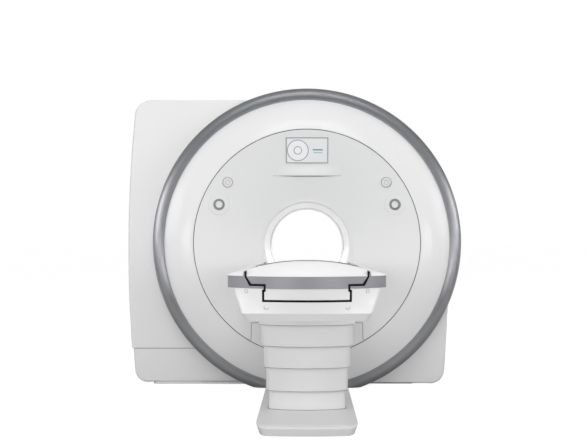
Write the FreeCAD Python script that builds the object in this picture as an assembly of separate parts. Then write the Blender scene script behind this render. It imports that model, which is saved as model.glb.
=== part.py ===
"""Magnetic resonance scanner with its patient table.

Millimetres. X runs to the right as seen from the front, Y from the table into the bore and
Z up. The origin is on the floor, below the magnet's isocentre.
"""

import FreeCAD, Part
import math
import os

from FreeCAD import Placement, Rotation, Vector

# ---- general fits ----
FLOOR_GAP = 8.0  # covers end this far above the floor
WALL = 6.0  # moulded cover wall
SEAT = 0.3  # clearance where one piece seats against another
RUNNING = 0.05  # radial clearance of a shaft in its bush
JOINT_GAP = 0.8  # gap between two covers that meet edge to edge

# ---- front cover: all rings turn about one axis ----
RING_Z = 1016.0  # height of the ring's axis
RING_Y = -700.0  # where the silver ring is widest
RING_OUTER_R = 1075.0
RING_WIDTH = 80.0
RING_INNER_R = RING_OUTER_R - RING_WIDTH
RING_CROWN = 48.0  # how far the ring bulges forward
RING_CROWN_SHIFT = 4.0  # the ring's foremost line lies this far outside its middle
RING_LIP = 20.0  # length of its straight outer edge
BEZEL_WIDTH = 209.0
SEAM_R = RING_INNER_R - BEZEL_WIDTH  # seam between the outer bezel and the inner fascia
SEAM_Y = -748.0
SEAM_GAP = 1.6  # between bezel and fascia
BEZEL_EDGE_Y = -716.0  # front of the bezel where it meets the ring
BEZEL_CROWN = 9.0  # bulge of the bezel between its two edges

# ---- patient bore ----
BORE_Z = 999.0  # height of the bore's axis and of the isocentre
BORE_R = 300.0
LINER_WALL = 5.0
MOUTH_EDGE_R = 318.0  # where the lip meets the fascia
MOUTH_Y = -612.0
LIP_PROUD = 7.0  # the lip's front stands this far in front of the fascia's edge
LIP_DEPTH = 16.0
FRONT_FUNNEL_END = -250.0  # Y where the front funnel meets the liner
REAR_FUNNEL_START = 340.0
REAR_FUNNEL_R = 350.0
REAR_FUNNEL_END = 749.0
FUNNEL_FLARE = 90.0

# ---- features of the inner fascia ----
BROW_Z = 1486.0  # lower edge of the brow under the display
BROW_HALF = 255.0
BROW_DEPTH = 24.0
BROW_TOP_Z = 1765.0
PANEL_HALF = 388.0  # lower access panel
PANEL_TOP_Z = 457.0
PANEL_KNEE_Z = 348.0
PANEL_FLARE = 14.0
DISPLAY_WIDTH = 294.0
DISPLAY_HEIGHT = 180.0
DISPLAY_Z = 1661.0
DISPLAY_FRAME = 5.0
DISPLAY_THICK = 22.0
DISPLAY_PROUD = 7.0  # its frame stands this far in front of the fascia
SCREEN_SUNK = 1.5
KNOB_X = 614.0
KNOB_Z = 1282.0
KNOB_R = 25.0
KNOB_STEM_R = 6.0
DIAL_RING_R = 40.0
POD_R = 73.0
POD_DEPTH = 26.0
POD_PROUD = 2.0
POD_FLOOR = -14.0  # heights of the controls count from the fascia's surface
RING_PROUD = 4.0
KNOB_FLATS = 24
KNOB_SKIRT = -13.0
KNOB_PROUD = 12.0
STOP_X = 553.0
STOP_Z = 1436.0
STOP_CAP_R = 31.0
STOP_RING_R = 37.0
STOP_TRAVEL = 4.0
STOP_DEPTH = 24.0
STOP_FLOOR = -20.0
STOP_RIM = 2.0
STOP_PROUD = 8.0

# ---- magnet covers ----
CABINET_FRONT = -546.0
CABINET_BACK = 690.0
CABINET_TOP = 2038.0
CABINET_LEFT = -1281.0  # at half height, where the side bulges most
CABINET_LEFT_FOOT = -1234.0
CABINET_LEFT_TOP = -1223.0
CABINET_WAIST_Z = 970.0
RING_OVERHANG = 9.0  # the silver ring stands this far out over the drum
DRUM_R = RING_OUTER_R - RING_OVERHANG
DRUM_STEP = 44.0
CABINET_RIGHT_R = DRUM_R - DRUM_STEP  # the right-hand side follows the drum
CABINET_RIGHT_WAIST = 1008.0
CABINET_RIGHT_WAIST_Z = 500.0
CABINET_RIGHT_FOOT = 977.0
CABINET_TOP_CORNER = 118.0
CABINET_FOOT_CORNER = 100.0
CABINET_EDGE = 9.0  # bevel of the front edge
CABINET_SPLIT = -150.0  # X of the joint between left and right cover
KICK_TOP = 259.0
KICK_INSET = 10.0
REAR_DEPTH = 60.0
REAR_EDGE = 30.0

# ---- magnet ----
VESSEL_SPACE = 87.0  # between the vessel and the right-hand cover
VESSEL_R = CABINET_RIGHT_R - VESSEL_SPACE
VESSEL_BORE_R = 450.0
VESSEL_HALF = 580.0
GRADIENT_R = 449.0
GRADIENT_BORE_R = 336.0
GRADIENT_HALF = 590.0
BODY_COIL_R = 335.0
COLD_HEAD_X = -690.0
COLD_HEAD_R = 85.0
COLD_HEAD_TOP = 1960.0
COLD_HEAD_MOTOR = 120.0  # height of its slimmer motor
COLD_HEAD_STEP = 30.0
FLOOR_PLATE = 20.0
FLOOR_PLATE_HALF_X = 760.0
FLOOR_PLATE_HALF_Y = 500.0
ANCHOR_X = 700.0
ANCHOR_Y = 430.0
ANCHOR_R = 9.0
CRADLE_Y = 380.0
CRADLE_THICK = 70.0
CRADLE_HALF = 620.0
STANDOFF_HALF = 15.0
STANDOFF_R = 820.0  # from the ring's axis to the inner side of the posts
STANDOFFS = 6

# ---- patient table: plan shape ----
TABLE_FRONT = -3050.0  # foremost point of the nose
TABLE_BACK = -792.0
TABLE_HALF = 361.0
TABLE_NOSE_R = 470.0
TABLE_CORNER = 55.0

# ---- patient table: heights ----
BAND_TOP = 865.0
BAND_BOTTOM = 812.0
BAND_THICK = 5.0
WING_TOP = 886.0  # inner edge of the side wings
WING_EDGE = 868.0  # outer edge of the side wings
WING_WALL = 4.0
WING_SOLID = 320.0  # the wings are solid this far behind the nose's front
CREASE_Z = 700.0
BODY_BOTTOM = 664.0
BODY_WALL = 5.0
BODY_TOP_HALF = 334.0
CREASE_HALF = 294.0
BOTTOM_HALF = 272.0
CREASE_BACKSET = 48.0
BOTTOM_BACKSET = 90.0
LOWER_NOSE_R = 1500.0
CREST_Z = 932.0
CREST_BACK = 150.0  # the nose's crest lies this far behind its front
CREST_ARCH_R = 930.0

# ---- nose section: half widths and heights of the black line ----
NOSE_TOP_HALF = 270.0
NOSE_MID_HALF = 267.0
NOSE_MID_Z = 861.0
SHOULDER_HALF = 246.0
SHOULDER_Z = 832.0
NECK_HALF = 181.0
NECK_Z = 798.0
KEEL_HALF = 188.0
KEEL_Z = 762.0
NOSE_LENGTH = 250.0
NOSE_STEP = 6.0  # the nose's rear edge stands this far above the board's rim
NOSE_GAP = 10.0
SEAL_THICK = 9.0
NOSE_SEAL_CLEAR = 10.0  # the seal ends this far in front of the nose's rear end
NOSE_SEAL_SUNK = 1.0

# ---- patient board ----
BOARD_HALF = 246.0
BOARD_UNDER = 836.0
BOARD_RIM = 882.0
BOARD_DISH = 850.0
BOARD_RIM_WIDTH = 18.0
BOARD_BACK = -802.0
GLIDE_IN = 200.0
GLIDE_OUT = 234.0
GLIDE_THICK = 5.0
GLIDE_GAP = 0.5
PAD_HALF = 224.0
PAD_TOP = 887.0
PAD_END_GAP = 30.0

# ---- channel and frame of the table ----
CHANNEL_WALL = 4.0
FRAME_HALF = 150.0
FRAME_TOP = 746.0
FRAME_BOTTOM = 722.0
FRAME_END_GAP = 130.0
FRAME_WINDOW = 130.0  # half length of its cut-outs
FRAME_PAD = 150.0  # half length of the pad over the column
FRAME_RIM = 40.0

# ---- pedestal ----
COLUMN_FRONT = -1825.0
COLUMN_BACK = -1125.0
SHROUD_HALF = 223.0
SHROUD_NOSE_R = 522.0
SHROUD_CORNER = 32.0
SHROUD_WALL = 4.0
SHROUD_STEP = 14.5
SHROUD_LIP = 6.0
SHROUD_RUN = 0.5
SHROUD_BOTTOMS = (545.0, 422.0, 298.0, 164.0)  # collar, then the three moving shrouds
SHROUD_TOPS = (664.0, 600.0, 474.0, 346.0)
FIXED_SHROUD_TOP = 220.0

# ---- lift column ----
STAGE_HALF = 110.0
STAGE_WALL = 8.0
STAGE_RUN = 0.5
STAGE_LOW_TOP = 300.0
STAGE_MID_BOTTOM = 256.0
STAGE_MID_TOP = 506.0
STAGE_HIGH_BOTTOM = 450.0
LIFT_MOTOR_R = 44.0
LIFT_MOTOR_X = 162.0
LIFT_MOTOR_TOP = 230.0

# ---- foot ----
FOOT_HALF = 285.0
FOOT_FRONT = -2280.0
FOOT_BACK = RING_Y - RING_CROWN - SEAT  # the foot ends at the silver ring
FOOT_NOSE_R = 770.0
FOOT_CORNER = 85.0
FOOT_TOP = 55.0
FOOT_BEVEL_Z = 40.0
FOOT_BEVEL = 22.0
FOOT_UNDERCUT = 12.0
FOOT_WALL = 5.0
COLUMN_PLATE = 20.0
COLUMN_PLATE_MARGIN = 36.0  # from the anchor holes to the plate's ends
COLUMN_ANCHOR_X = 175.0
COLUMN_ANCHOR_Y = 240.0

COLUMN_Y = (COLUMN_FRONT + COLUMN_BACK) / 2
FAR = 4000.0  # reach of cutting bodies


# ---------------------------------------------------------------- drawing helpers
def box(x0, x1, y0, y1, z0, z1):
    return Part.makeBox(x1 - x0, y1 - y0, z1 - z0, Vector(x0, y0, z0))


def rod_y(radius, y0, y1, z, x=0.0):
    return Part.makeCylinder(radius, y1 - y0, Vector(x, y0, z), Vector(0, 1, 0))


def rod_z(radius, x, y, z0, z1):
    return Part.makeCylinder(radius, z1 - z0, Vector(x, y, z0))


def wire(place, start, *steps):
    """A closed wire: a step (a, b) ends a line, a step ((a, b), (a, b)) is an arc's middle and end."""
    edges = []
    here = start
    for step in steps + (start,):
        if isinstance(step[0], tuple):
            via, end = step
            edges.append(Part.Arc(place(*here), place(*via), place(*end)).toShape())
        else:
            end = step
            if end != here:
                edges.append(Part.makeLine(place(*here), place(*end)))
        here = end
    return Part.Wire(edges)


def bow(start, middle, end, count):
    """Points on the arc through three points, its ends included, as count equal chords."""
    arc = Part.Arc(*[Vector(a, b, 0) for a, b in (start, middle, end)])
    first = arc.FirstParameter
    step = (arc.LastParameter - first) / count
    points = [arc.value(first + step * n) for n in range(count + 1)]
    return [(p.x, p.y) for p in points]


def turned(axis_z, points):
    """A body of revolution about the line along Y at height axis_z; points are (radius, y)."""

    def place(radius, y):
        return Vector(radius, y, axis_z)

    face = Part.Face(wire(place, *points))
    return face.revolve(Vector(0, 0, axis_z), Vector(0, 1, 0), 360)


def turned_z(points, x=0.0, y=0.0):
    """A body of revolution about an upright axis at x and y; points are (radius, z)."""

    def place(radius, z):
        return Vector(x + radius, y, z)

    face = Part.Face(wire(place, *points))
    return face.revolve(Vector(x, y, 0), Vector(0, 0, 1), 360)


def extruded_y(y0, y1, start, *steps):
    """A section drawn in X and Z, drawn out along Y."""

    def place(x, z):
        return Vector(x, y0, z)

    return Part.Face(wire(place, start, *steps)).extrude(Vector(0, y1 - y0, 0))


def mirrored_points(half):
    """The right-hand points of a symmetric outline, then the same ones mirrored, backwards."""
    return half + [(-x, z) for x, z in reversed(half)]


def plan_wire(half, nose_r, corner, front, back, z):
    """A table's plan: straight sides and back, a bowed front and rounded front corners."""
    centre_y = front + nose_r
    corner_x = half - corner
    corner_y = centre_y - math.sqrt((nose_r - corner) ** 2 - corner_x**2)
    slope = math.atan2(corner_x, centre_y - corner_y)
    tip = (nose_r * math.sin(slope), centre_y - nose_r * math.cos(slope))
    turn = (slope + math.pi / 2) / 2
    bend = (corner_x + corner * math.sin(turn), corner_y - corner * math.cos(turn))

    def place(x, y):
        return Vector(x, y, z)

    return wire(
        place,
        (half, back),
        (half, corner_y),
        (bend, tip),
        ((0.0, front), (-tip[0], tip[1])),
        ((-bend[0], bend[1]), (-half, corner_y)),
        (-half, back),
    )


def plan_solid(half, nose_r, corner, front, back, z0, z1):
    face = Part.Face(plan_wire(half, nose_r, corner, front, back, z0))
    return face.extrude(Vector(0, 0, z1 - z0))


def floor_cut(shape, gap=FLOOR_GAP):
    return shape.cut(box(-FAR, FAR, -FAR, FAR, -FAR, gap))


def group(*shapes):
    return Part.makeCompound(list(shapes))


# ---------------------------------------------------------------- front cover
def ring_trim():
    """The silver ring: a bowed front on a flat back."""
    crown_r = (RING_INNER_R + RING_OUTER_R) / 2 + RING_CROWN_SHIFT
    inner = RING_INNER_R + SEAT
    back = RING_Y + RING_LIP
    front = bow((inner, BEZEL_EDGE_Y), (crown_r, RING_Y - RING_CROWN), (RING_OUTER_R, RING_Y), 5)
    return floor_cut(turned(RING_Z, front + [(RING_OUTER_R, back), (inner, back)]))


def front_bezel():
    """The white outer annulus: a bowed front, with a flat back and a turned-back inner edge."""
    inner = SEAM_R + SEAM_GAP / 2
    outer = RING_INNER_R
    middle_y = (SEAM_Y + BEZEL_EDGE_Y) / 2 - BEZEL_CROWN
    back = BEZEL_EDGE_Y + WALL
    front = bow((inner, SEAM_Y), ((inner + outer) / 2, middle_y), (outer, BEZEL_EDGE_Y), 4)
    return floor_cut(turned(RING_Z, front + [(outer, back), (inner, back)]))


def dish_slope():
    """How far the dish falls back for each millimetre towards the bore."""
    return (MOUTH_Y - SEAM_Y) / (SEAM_R - MOUTH_EDGE_R)


def dish_space(shift):
    """The conical hollow in front of the fascia, moved back by shift."""
    wide = 1.25 * SEAM_R
    narrow = 0.3 * SEAM_R
    front = SEAM_Y + shift - (wide - SEAM_R) * dish_slope()
    length = (wide - narrow) * dish_slope()
    return Part.makeCone(wide, narrow, length, Vector(0, front, RING_Z), Vector(0, 1, 0))


def dish_point(x, z):
    """The point of the fascia's surface at x and z, and the direction that faces the room."""
    radius = math.hypot(x, z - RING_Z)
    y = SEAM_Y + (SEAM_R - radius) * dish_slope()
    out = Vector(-x / radius * dish_slope(), -1.0, (RING_Z - z) / radius * dish_slope())
    return Vector(x, y, z), out.normalize()


def on_dish(shape, x, z):
    """Sets a shape drawn about the Z axis on the fascia, its Z pointing out of the surface."""
    point, out = dish_point(x, z)
    placed = shape.copy()
    placed.Placement = Placement(point, Rotation(Vector(0, 0, 1), out))
    return placed


def panel_region(grow):
    """The prism that the lower access panel is cut out with."""
    flare = PANEL_HALF + PANEL_FLARE
    half = [
        (PANEL_HALF + grow, PANEL_TOP_Z + grow),
        (PANEL_HALF + grow, PANEL_KNEE_Z),
        (flare + grow, PANEL_KNEE_Z - PANEL_FLARE),
        (flare + grow, 0.0),
    ]
    return extruded_y(SEAM_Y - 2 * WALL, MOUTH_Y, *mirrored_points(half))


def brow():
    """The raised field around the display, which ends below in a sharp overhanging edge."""
    bow_r = (BROW_HALF**2 + BROW_DEPTH**2) / (2 * BROW_DEPTH)
    low = dish_point(0, BROW_Z)[0]
    high = dish_point(0, BROW_TOP_Z)[0]
    base = Vector(0, low.y - BROW_DEPTH + bow_r, low.z)
    lean = (high - Vector(0, low.y - BROW_DEPTH, low.z)).normalize()
    length = (high - low).Length
    drum = Part.makeCylinder(bow_r, 3 * length, base - lean * length, lean)
    keep = box(-BROW_HALF, BROW_HALF, SEAM_Y, low.y + WALL, BROW_Z, BROW_TOP_Z)
    return drum.common(keep).cut(dish_space(WALL / 2))


def fascia_blank():
    """The dished front plate with its brow, before panel and controls are cut out."""
    rim_r = SEAM_R - SEAM_GAP / 2
    disc = rod_y(rim_r, SEAM_Y - WALL, MOUTH_Y + 2 * WALL, RING_Z)
    plate = dish_space(WALL).cut(dish_space(0)).common(disc)
    hole = rod_y(MOUTH_EDGE_R + SEAT, SEAM_Y - WALL, 0, BORE_Z)
    return plate.fuse(brow().common(disc)).cut(hole)


def display_place(thick, width, height, raise_by):
    """A plate that leans with the dish, its front face raise_by in front of the surface."""
    point, out = dish_point(0, DISPLAY_Z)
    plate = Part.makeBox(width, height, thick, Vector(-width / 2, -height / 2, raise_by - thick))
    up = Vector(0, out.z, -out.y)
    plate.Placement = Placement(point, Rotation(Vector(1, 0, 0), up, out, "ZXY"))
    return plate


def inner_fascia(blank):
    shape = blank.cut(panel_region(JOINT_GAP / 2))
    shape = shape.cut(display_place(60.0, DISPLAY_WIDTH + 2 * SEAT, DISPLAY_HEIGHT + 2 * SEAT, 30.0))
    for side in (-1, 1):
        pod = rod_z(POD_R + SEAT, 0, 0, -POD_DEPTH - WALL, POD_DEPTH)
        stop = rod_z(STOP_RING_R + SEAT, 0, 0, -STOP_DEPTH - WALL, STOP_DEPTH)
        shape = shape.cut(on_dish(pod, side * KNOB_X, KNOB_Z))
        shape = shape.cut(on_dish(stop, side * STOP_X, STOP_Z))
    return shape


def lower_panel(blank):
    return blank.common(panel_region(-JOINT_GAP / 2))


def display_bezel():
    width = DISPLAY_WIDTH - 2 * DISPLAY_FRAME
    height = DISPLAY_HEIGHT - 2 * DISPLAY_FRAME
    hollow = display_place(DISPLAY_THICK, width, height, DISPLAY_PROUD + 2)
    return display_place(DISPLAY_THICK, DISPLAY_WIDTH, DISPLAY_HEIGHT, DISPLAY_PROUD).cut(hollow)


def display_screen():
    width = DISPLAY_WIDTH - 2 * DISPLAY_FRAME - 2 * SEAT
    height = DISPLAY_HEIGHT - 2 * DISPLAY_FRAME - 2 * SEAT
    return display_place(DISPLAY_THICK - 10.0, width, height, DISPLAY_PROUD - SCREEN_SUNK)


def control_pod():
    """The round housing of a turning knob, with a recess for the ring and a bush for the stem."""
    bush = KNOB_STEM_R + RUNNING
    recess = DIAL_RING_R + SEAT
    return turned_z(
        [
            (bush, -POD_DEPTH),
            (POD_R, -POD_DEPTH),
            (POD_R, POD_PROUD),
            (recess, POD_PROUD),
            (recess, POD_FLOOR),
            (bush, POD_FLOOR),
        ]
    )


def dial_ring():
    """The dark ring around the knob."""
    bottom = POD_FLOOR + SEAT
    inner = KNOB_R + SEAT
    return turned_z([(inner, bottom), (DIAL_RING_R, bottom), (DIAL_RING_R, RING_PROUD), (inner, RING_PROUD)])


def dial_knob():
    """The turning knob: a grip with flats all round, on a stem."""
    angles = [2 * math.pi * n / KNOB_FLATS for n in range(KNOB_FLATS + 1)]
    corners = [Vector(KNOB_R * math.cos(a), KNOB_R * math.sin(a), KNOB_SKIRT) for a in angles]
    grip = Part.Face(Part.makePolygon(corners)).extrude(Vector(0, 0, KNOB_PROUD - KNOB_SKIRT))
    return grip.fuse(rod_z(KNOB_STEM_R, 0, 0, 1 - POD_DEPTH, KNOB_SKIRT))


def stop_ring():
    """The cup that guides a stop button."""
    outer = rod_z(STOP_RING_R, 0, 0, -STOP_DEPTH, STOP_RIM)
    return outer.cut(rod_z(STOP_CAP_R + SEAT, 0, 0, STOP_FLOOR, STOP_RIM))


def stop_cap():
    """The pressed part of a stop button."""
    return rod_z(STOP_CAP_R, 0, 0, STOP_FLOOR + STOP_TRAVEL + SEAT, STOP_PROUD)


def both_sides(shape, x, z):
    return group(on_dish(shape, -x, z), on_dish(shape, x, z))


# ---------------------------------------------------------------- bore
def front_funnel():
    """The front end of the bore; its rounded lip stands a little proud of the fascia's hole."""
    joint = FRONT_FUNNEL_END - SEAT / 2
    lip_y = MOUTH_Y - LIP_PROUD
    lip_back = MOUTH_Y + LIP_DEPTH
    lip = bow((BORE_R, lip_back), (BORE_R + 5, lip_y + 6), (MOUTH_EDGE_R, lip_y), 3)
    tube = [
        (MOUTH_EDGE_R, MOUTH_Y),
        (BORE_R + LINER_WALL, lip_back),
        (BORE_R + LINER_WALL, joint),
        (BORE_R, joint),
    ]
    return turned(BORE_Z, lip + tube)


def body_coil():
    """The middle of the bore: the liner with the radio-frequency body coil laid on it."""
    y0 = FRONT_FUNNEL_END + SEAT / 2
    length = REAR_FUNNEL_START - SEAT / 2 - y0
    coil = Part.makeCylinder(BODY_COIL_R, length, Vector(0, y0, BORE_Z), Vector(0, 1, 0))
    return coil.cut(Part.makeCylinder(BORE_R, length, Vector(0, y0, BORE_Z), Vector(0, 1, 0)))


def rear_funnel():
    """The flared rear end of the bore."""
    joint = REAR_FUNNEL_START + SEAT / 2
    knee = REAR_FUNNEL_END - FUNNEL_FLARE
    bend = (BORE_R + 12, REAR_FUNNEL_END - 0.4 * FUNNEL_FLARE)
    flare = bow((BORE_R, knee), bend, (REAR_FUNNEL_R, REAR_FUNNEL_END), 3)
    outside = [
        (REAR_FUNNEL_R + WALL, REAR_FUNNEL_END),
        (BORE_R + LINER_WALL, knee),
        (BORE_R + LINER_WALL, joint),
        (BORE_R, joint),
    ]
    return turned(BORE_Z, flare + outside)


def rail_section(side, y0, y1):
    """One slide rail on the floor of the bore, its foot cut to the tube's curve."""
    rail = box(GLIDE_IN, GLIDE_OUT, y0, y1, BORE_Z - BORE_R, rail_top())
    if side < 0:
        rail = box(-GLIDE_OUT, -GLIDE_IN, y0, y1, BORE_Z - BORE_R, rail_top())
    return rail


def rail_top():
    return BOARD_UNDER - GLIDE_THICK - GLIDE_GAP


def bore_rails():
    """Two rails that carry the board inside the bore, at the height of the table's rails."""
    start = MOUTH_Y + 40
    end = REAR_FUNNEL_END - FUNNEL_FLARE
    inside = rod_y(BORE_R - SEAT, start, end, BORE_Z)
    return group(*[rail_section(side, start, end).common(inside) for side in (-1, 1)])


# ---------------------------------------------------------------- magnet covers
def cabinet_blank():
    """The outer form of the magnet cover, wider on the left, round on the upper right."""
    z0 = FLOOR_GAP
    right = CABINET_RIGHT_R
    diagonal = right * math.sqrt(0.5)
    centre_z = CABINET_TOP - right
    shape = extruded_y(
        CABINET_FRONT,
        CABINET_BACK,
        (CABINET_LEFT_FOOT, z0),
        ((CABINET_LEFT, CABINET_WAIST_Z), (CABINET_LEFT_TOP, CABINET_TOP)),
        (0.0, CABINET_TOP),
        ((diagonal, centre_z + diagonal), (right, centre_z)),
        ((CABINET_RIGHT_WAIST, CABINET_RIGHT_WAIST_Z), (CABINET_RIGHT_FOOT, z0)),
    )
    corners = {CABINET_LEFT_FOOT: CABINET_FOOT_CORNER, CABINET_RIGHT_FOOT: CABINET_FOOT_CORNER}
    corners[CABINET_LEFT_TOP] = CABINET_TOP_CORNER
    for x, radius in corners.items():
        found = [e for e in shape.Edges if is_long_edge_at(e, x)]
        shape = shape.makeFillet(radius, found)
    return shape


def is_long_edge_at(edge, x):
    ends = [v.Point for v in edge.Vertexes]
    return len(ends) == 2 and all(abs(p.x - x) < 0.01 for p in ends) and abs(ends[0].y - ends[1].y) > 1


def front_face(shape, y):
    return [f for f in shape.Faces if abs(f.BoundBox.YMin - y) < 0.01 and abs(f.BoundBox.YMax - y) < 0.01][0]


def inset_prism(shape, inset, y0, y1):
    """The cabinet's outline, drawn in by inset and extruded from y0 to y1."""
    outline = front_face(shape, CABINET_FRONT).OuterWire
    face = Part.Face(outline).makeOffset2D(-inset) if inset else Part.Face(outline)
    face.translate(Vector(0, y0 - CABINET_FRONT, 0))
    return face.extrude(Vector(0, y1 - y0, 0))


def cabinet_shell(blank, inset):
    """A hollow cover after the cabinet's outline: front wall with a round opening, open back."""
    front = CABINET_FRONT + inset / 2
    outer = inset_prism(blank, inset, front, CABINET_BACK)
    rim = front_face(outer, front)
    outer = outer.makeChamfer(CABINET_EDGE, rim.OuterWire.Edges)
    inner = inset_prism(blank, inset + WALL, front + WALL, CABINET_BACK + 1)
    opening = rod_y(DRUM_R - 4 * WALL, front - 1, front + WALL + 1, RING_Z)
    below = box(
        CABINET_LEFT_FOOT + CABINET_FOOT_CORNER + 10,
        CABINET_RIGHT_FOOT - CABINET_FOOT_CORNER,
        front + WALL,
        CABINET_BACK + 1,
        0,
        FLOOR_GAP + inset + 2 * WALL,
    )
    return outer.cut(inner).cut(opening).cut(below)


def left_cover(blank):
    keep = box(-FAR, CABINET_SPLIT - JOINT_GAP / 2, -FAR, FAR, KICK_TOP + 3, FAR)
    return cabinet_shell(blank, 0.0).common(keep)


def right_cover(blank):
    keep = box(CABINET_SPLIT + JOINT_GAP / 2, FAR, -FAR, FAR, 0, FAR)
    return cabinet_shell(blank, 0.0).common(keep)


def kick_panel(blank):
    """The lower left panel, set back a little, with a tongue behind the panel above it."""
    keep = box(-FAR, CABINET_SPLIT - JOINT_GAP / 2, -FAR, FAR, 0, KICK_TOP)
    tongue = box(-FAR, -DRUM_R + 100, -FAR, FAR, 0, KICK_TOP + 20)
    panel = cabinet_shell(blank, KICK_INSET).common(keep.fuse(tongue))
    clear = inset_prism(blank, WALL + SEAT, CABINET_FRONT + WALL + SEAT, CABINET_BACK)
    upper = panel.common(box(-FAR, FAR, -FAR, FAR, KICK_TOP, FAR)).common(clear)
    return panel.cut(box(-FAR, FAR, -FAR, FAR, KICK_TOP, FAR)).fuse(upper)


def rear_cover(blank):
    """The rear cover: a shallow dish with a rounded edge and a hole for the rear funnel."""
    front = CABINET_BACK + JOINT_GAP / 2
    back = CABINET_BACK + REAR_DEPTH
    outer = inset_prism(blank, 0.0, front, back)
    outer = outer.makeChamfer(REAR_EDGE, front_face(outer, back).OuterWire.Edges)
    inner = inset_prism(blank, WALL, front - 1, back - WALL)
    inner = inner.makeChamfer(REAR_EDGE, front_face(inner, back - WALL).OuterWire.Edges)
    hole = rod_y(REAR_FUNNEL_R + WALL + SEAT, front - 1, back + 1, BORE_Z)
    return outer.cut(inner).cut(hole)


def drum_cover():
    """The round wall between the silver ring and the magnet cover."""
    y0 = RING_Y + RING_LIP + SEAT
    length = CABINET_FRONT - SEAT - y0
    outer = rod_y(DRUM_R, y0, y0 + length, RING_Z)
    return floor_cut(outer.cut(rod_y(DRUM_R - 2 * WALL, y0, y0 + length, RING_Z)))


# ---------------------------------------------------------------- magnet
def tube_about_bore(outer, inner, half):
    return rod_y(outer, -half, half, BORE_Z).cut(rod_y(inner, -half - 1, half + 1, BORE_Z))


def cold_head():
    """The cooler that stands on the vessel under the left cover, with its motor on top."""
    foot_z = BORE_Z + math.sqrt(VESSEL_R**2 - (COLD_HEAD_X - COLD_HEAD_R) ** 2)
    body = turned_z(
        [
            (0.0, foot_z),
            (COLD_HEAD_R, foot_z),
            (COLD_HEAD_R, COLD_HEAD_TOP - COLD_HEAD_MOTOR),
            (COLD_HEAD_R - COLD_HEAD_STEP, COLD_HEAD_TOP - COLD_HEAD_MOTOR),
            (COLD_HEAD_R - COLD_HEAD_STEP, COLD_HEAD_TOP),
            (0.0, COLD_HEAD_TOP),
        ],
        COLD_HEAD_X,
    )
    return body.cut(rod_y(VESSEL_R + SEAT, -VESSEL_HALF, VESSEL_HALF, BORE_Z))


def floor_plate():
    plate = box(
        -FLOOR_PLATE_HALF_X, FLOOR_PLATE_HALF_X, -FLOOR_PLATE_HALF_Y, FLOOR_PLATE_HALF_Y, 0, FLOOR_PLATE
    )
    for x in (-ANCHOR_X, ANCHOR_X):
        for y in (-ANCHOR_Y, ANCHOR_Y):
            plate = plate.cut(rod_z(ANCHOR_R, x, y, -1, FLOOR_PLATE + 1))
    return plate


def magnet_cradles():
    """Two saddles that carry the vessel on the floor plate."""
    solids = []
    top = BORE_Z - math.sqrt(VESSEL_R**2 - CRADLE_HALF**2)
    for y in (-CRADLE_Y, CRADLE_Y):
        saddle = extruded_y(
            y - CRADLE_THICK / 2,
            y + CRADLE_THICK / 2,
            (-CRADLE_HALF, FLOOR_PLATE),
            (CRADLE_HALF, FLOOR_PLATE),
            (CRADLE_HALF, top),
            (-CRADLE_HALF, top),
        )
        solids.append(saddle.cut(rod_y(VESSEL_R + SEAT, -VESSEL_HALF, VESSEL_HALF, BORE_Z)))
    return group(*solids)


def cover_standoffs():
    """Square posts on the vessel's front that carry the bezel, one at each sixth of the ring."""
    posts = []
    front = BEZEL_EDGE_Y + WALL + SEAT
    for n in range(STANDOFFS):
        angle = 30 + 360 / STANDOFFS * n
        post = box(-STANDOFF_HALF, STANDOFF_HALF, front, -VESSEL_HALF - SEAT, 0, 2 * STANDOFF_HALF)
        post.translate(Vector(0, 0, STANDOFF_R))
        post.rotate(Vector(0, 0, 0), Vector(0, 1, 0), angle)
        post.translate(Vector(0, 0, RING_Z))
        posts.append(post)
    return group(*posts)


# ---------------------------------------------------------------- table: nose section
def nose_outline(grow):
    """The black line's course, widened by grow, as right-hand points from top to bottom."""
    return mirrored_points(
        [
            (NOSE_TOP_HALF + grow, CREST_Z + 60),
            (NOSE_TOP_HALF + grow, WING_TOP),
            (NOSE_MID_HALF + grow, NOSE_MID_Z),
            (SHOULDER_HALF + grow, SHOULDER_Z - grow),
            (NECK_HALF + grow, SHOULDER_Z - grow),
            (NECK_HALF + grow, NECK_Z + grow),
            (KEEL_HALF + grow, NECK_Z + grow - 2),
            (KEEL_HALF + grow, KEEL_Z - grow),
        ]
    )


def nose_prism(grow, y0=TABLE_FRONT - 10, y1=TABLE_BACK + 10):
    return extruded_y(y0, y1, *nose_outline(grow))


def band_blank(inset, z0, z1, back=TABLE_BACK):
    """The table's plan at the height of the band, drawn in by inset."""
    return plan_solid(
        TABLE_HALF - inset, TABLE_NOSE_R - inset, TABLE_CORNER - inset, TABLE_FRONT + inset, back, z0, z1
    )


def lower_blank(inset):
    """The lower body: it narrows to the crease and again to its bottom edge."""
    wires = []
    for half, nose_r, setback, z in (
        (BODY_TOP_HALF, TABLE_NOSE_R, 2.0, BAND_BOTTOM),
        (CREASE_HALF, LOWER_NOSE_R, CREASE_BACKSET, CREASE_Z),
        (BOTTOM_HALF, LOWER_NOSE_R, BOTTOM_BACKSET, BODY_BOTTOM),
    ):
        wires.append(
            plan_wire(
                half - inset,
                nose_r - inset,
                TABLE_CORNER - 20 - inset,
                TABLE_FRONT + setback + inset,
                TABLE_BACK - inset,
                z,
            )
        )
    return Part.makeLoft(wires, True, True)


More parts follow.
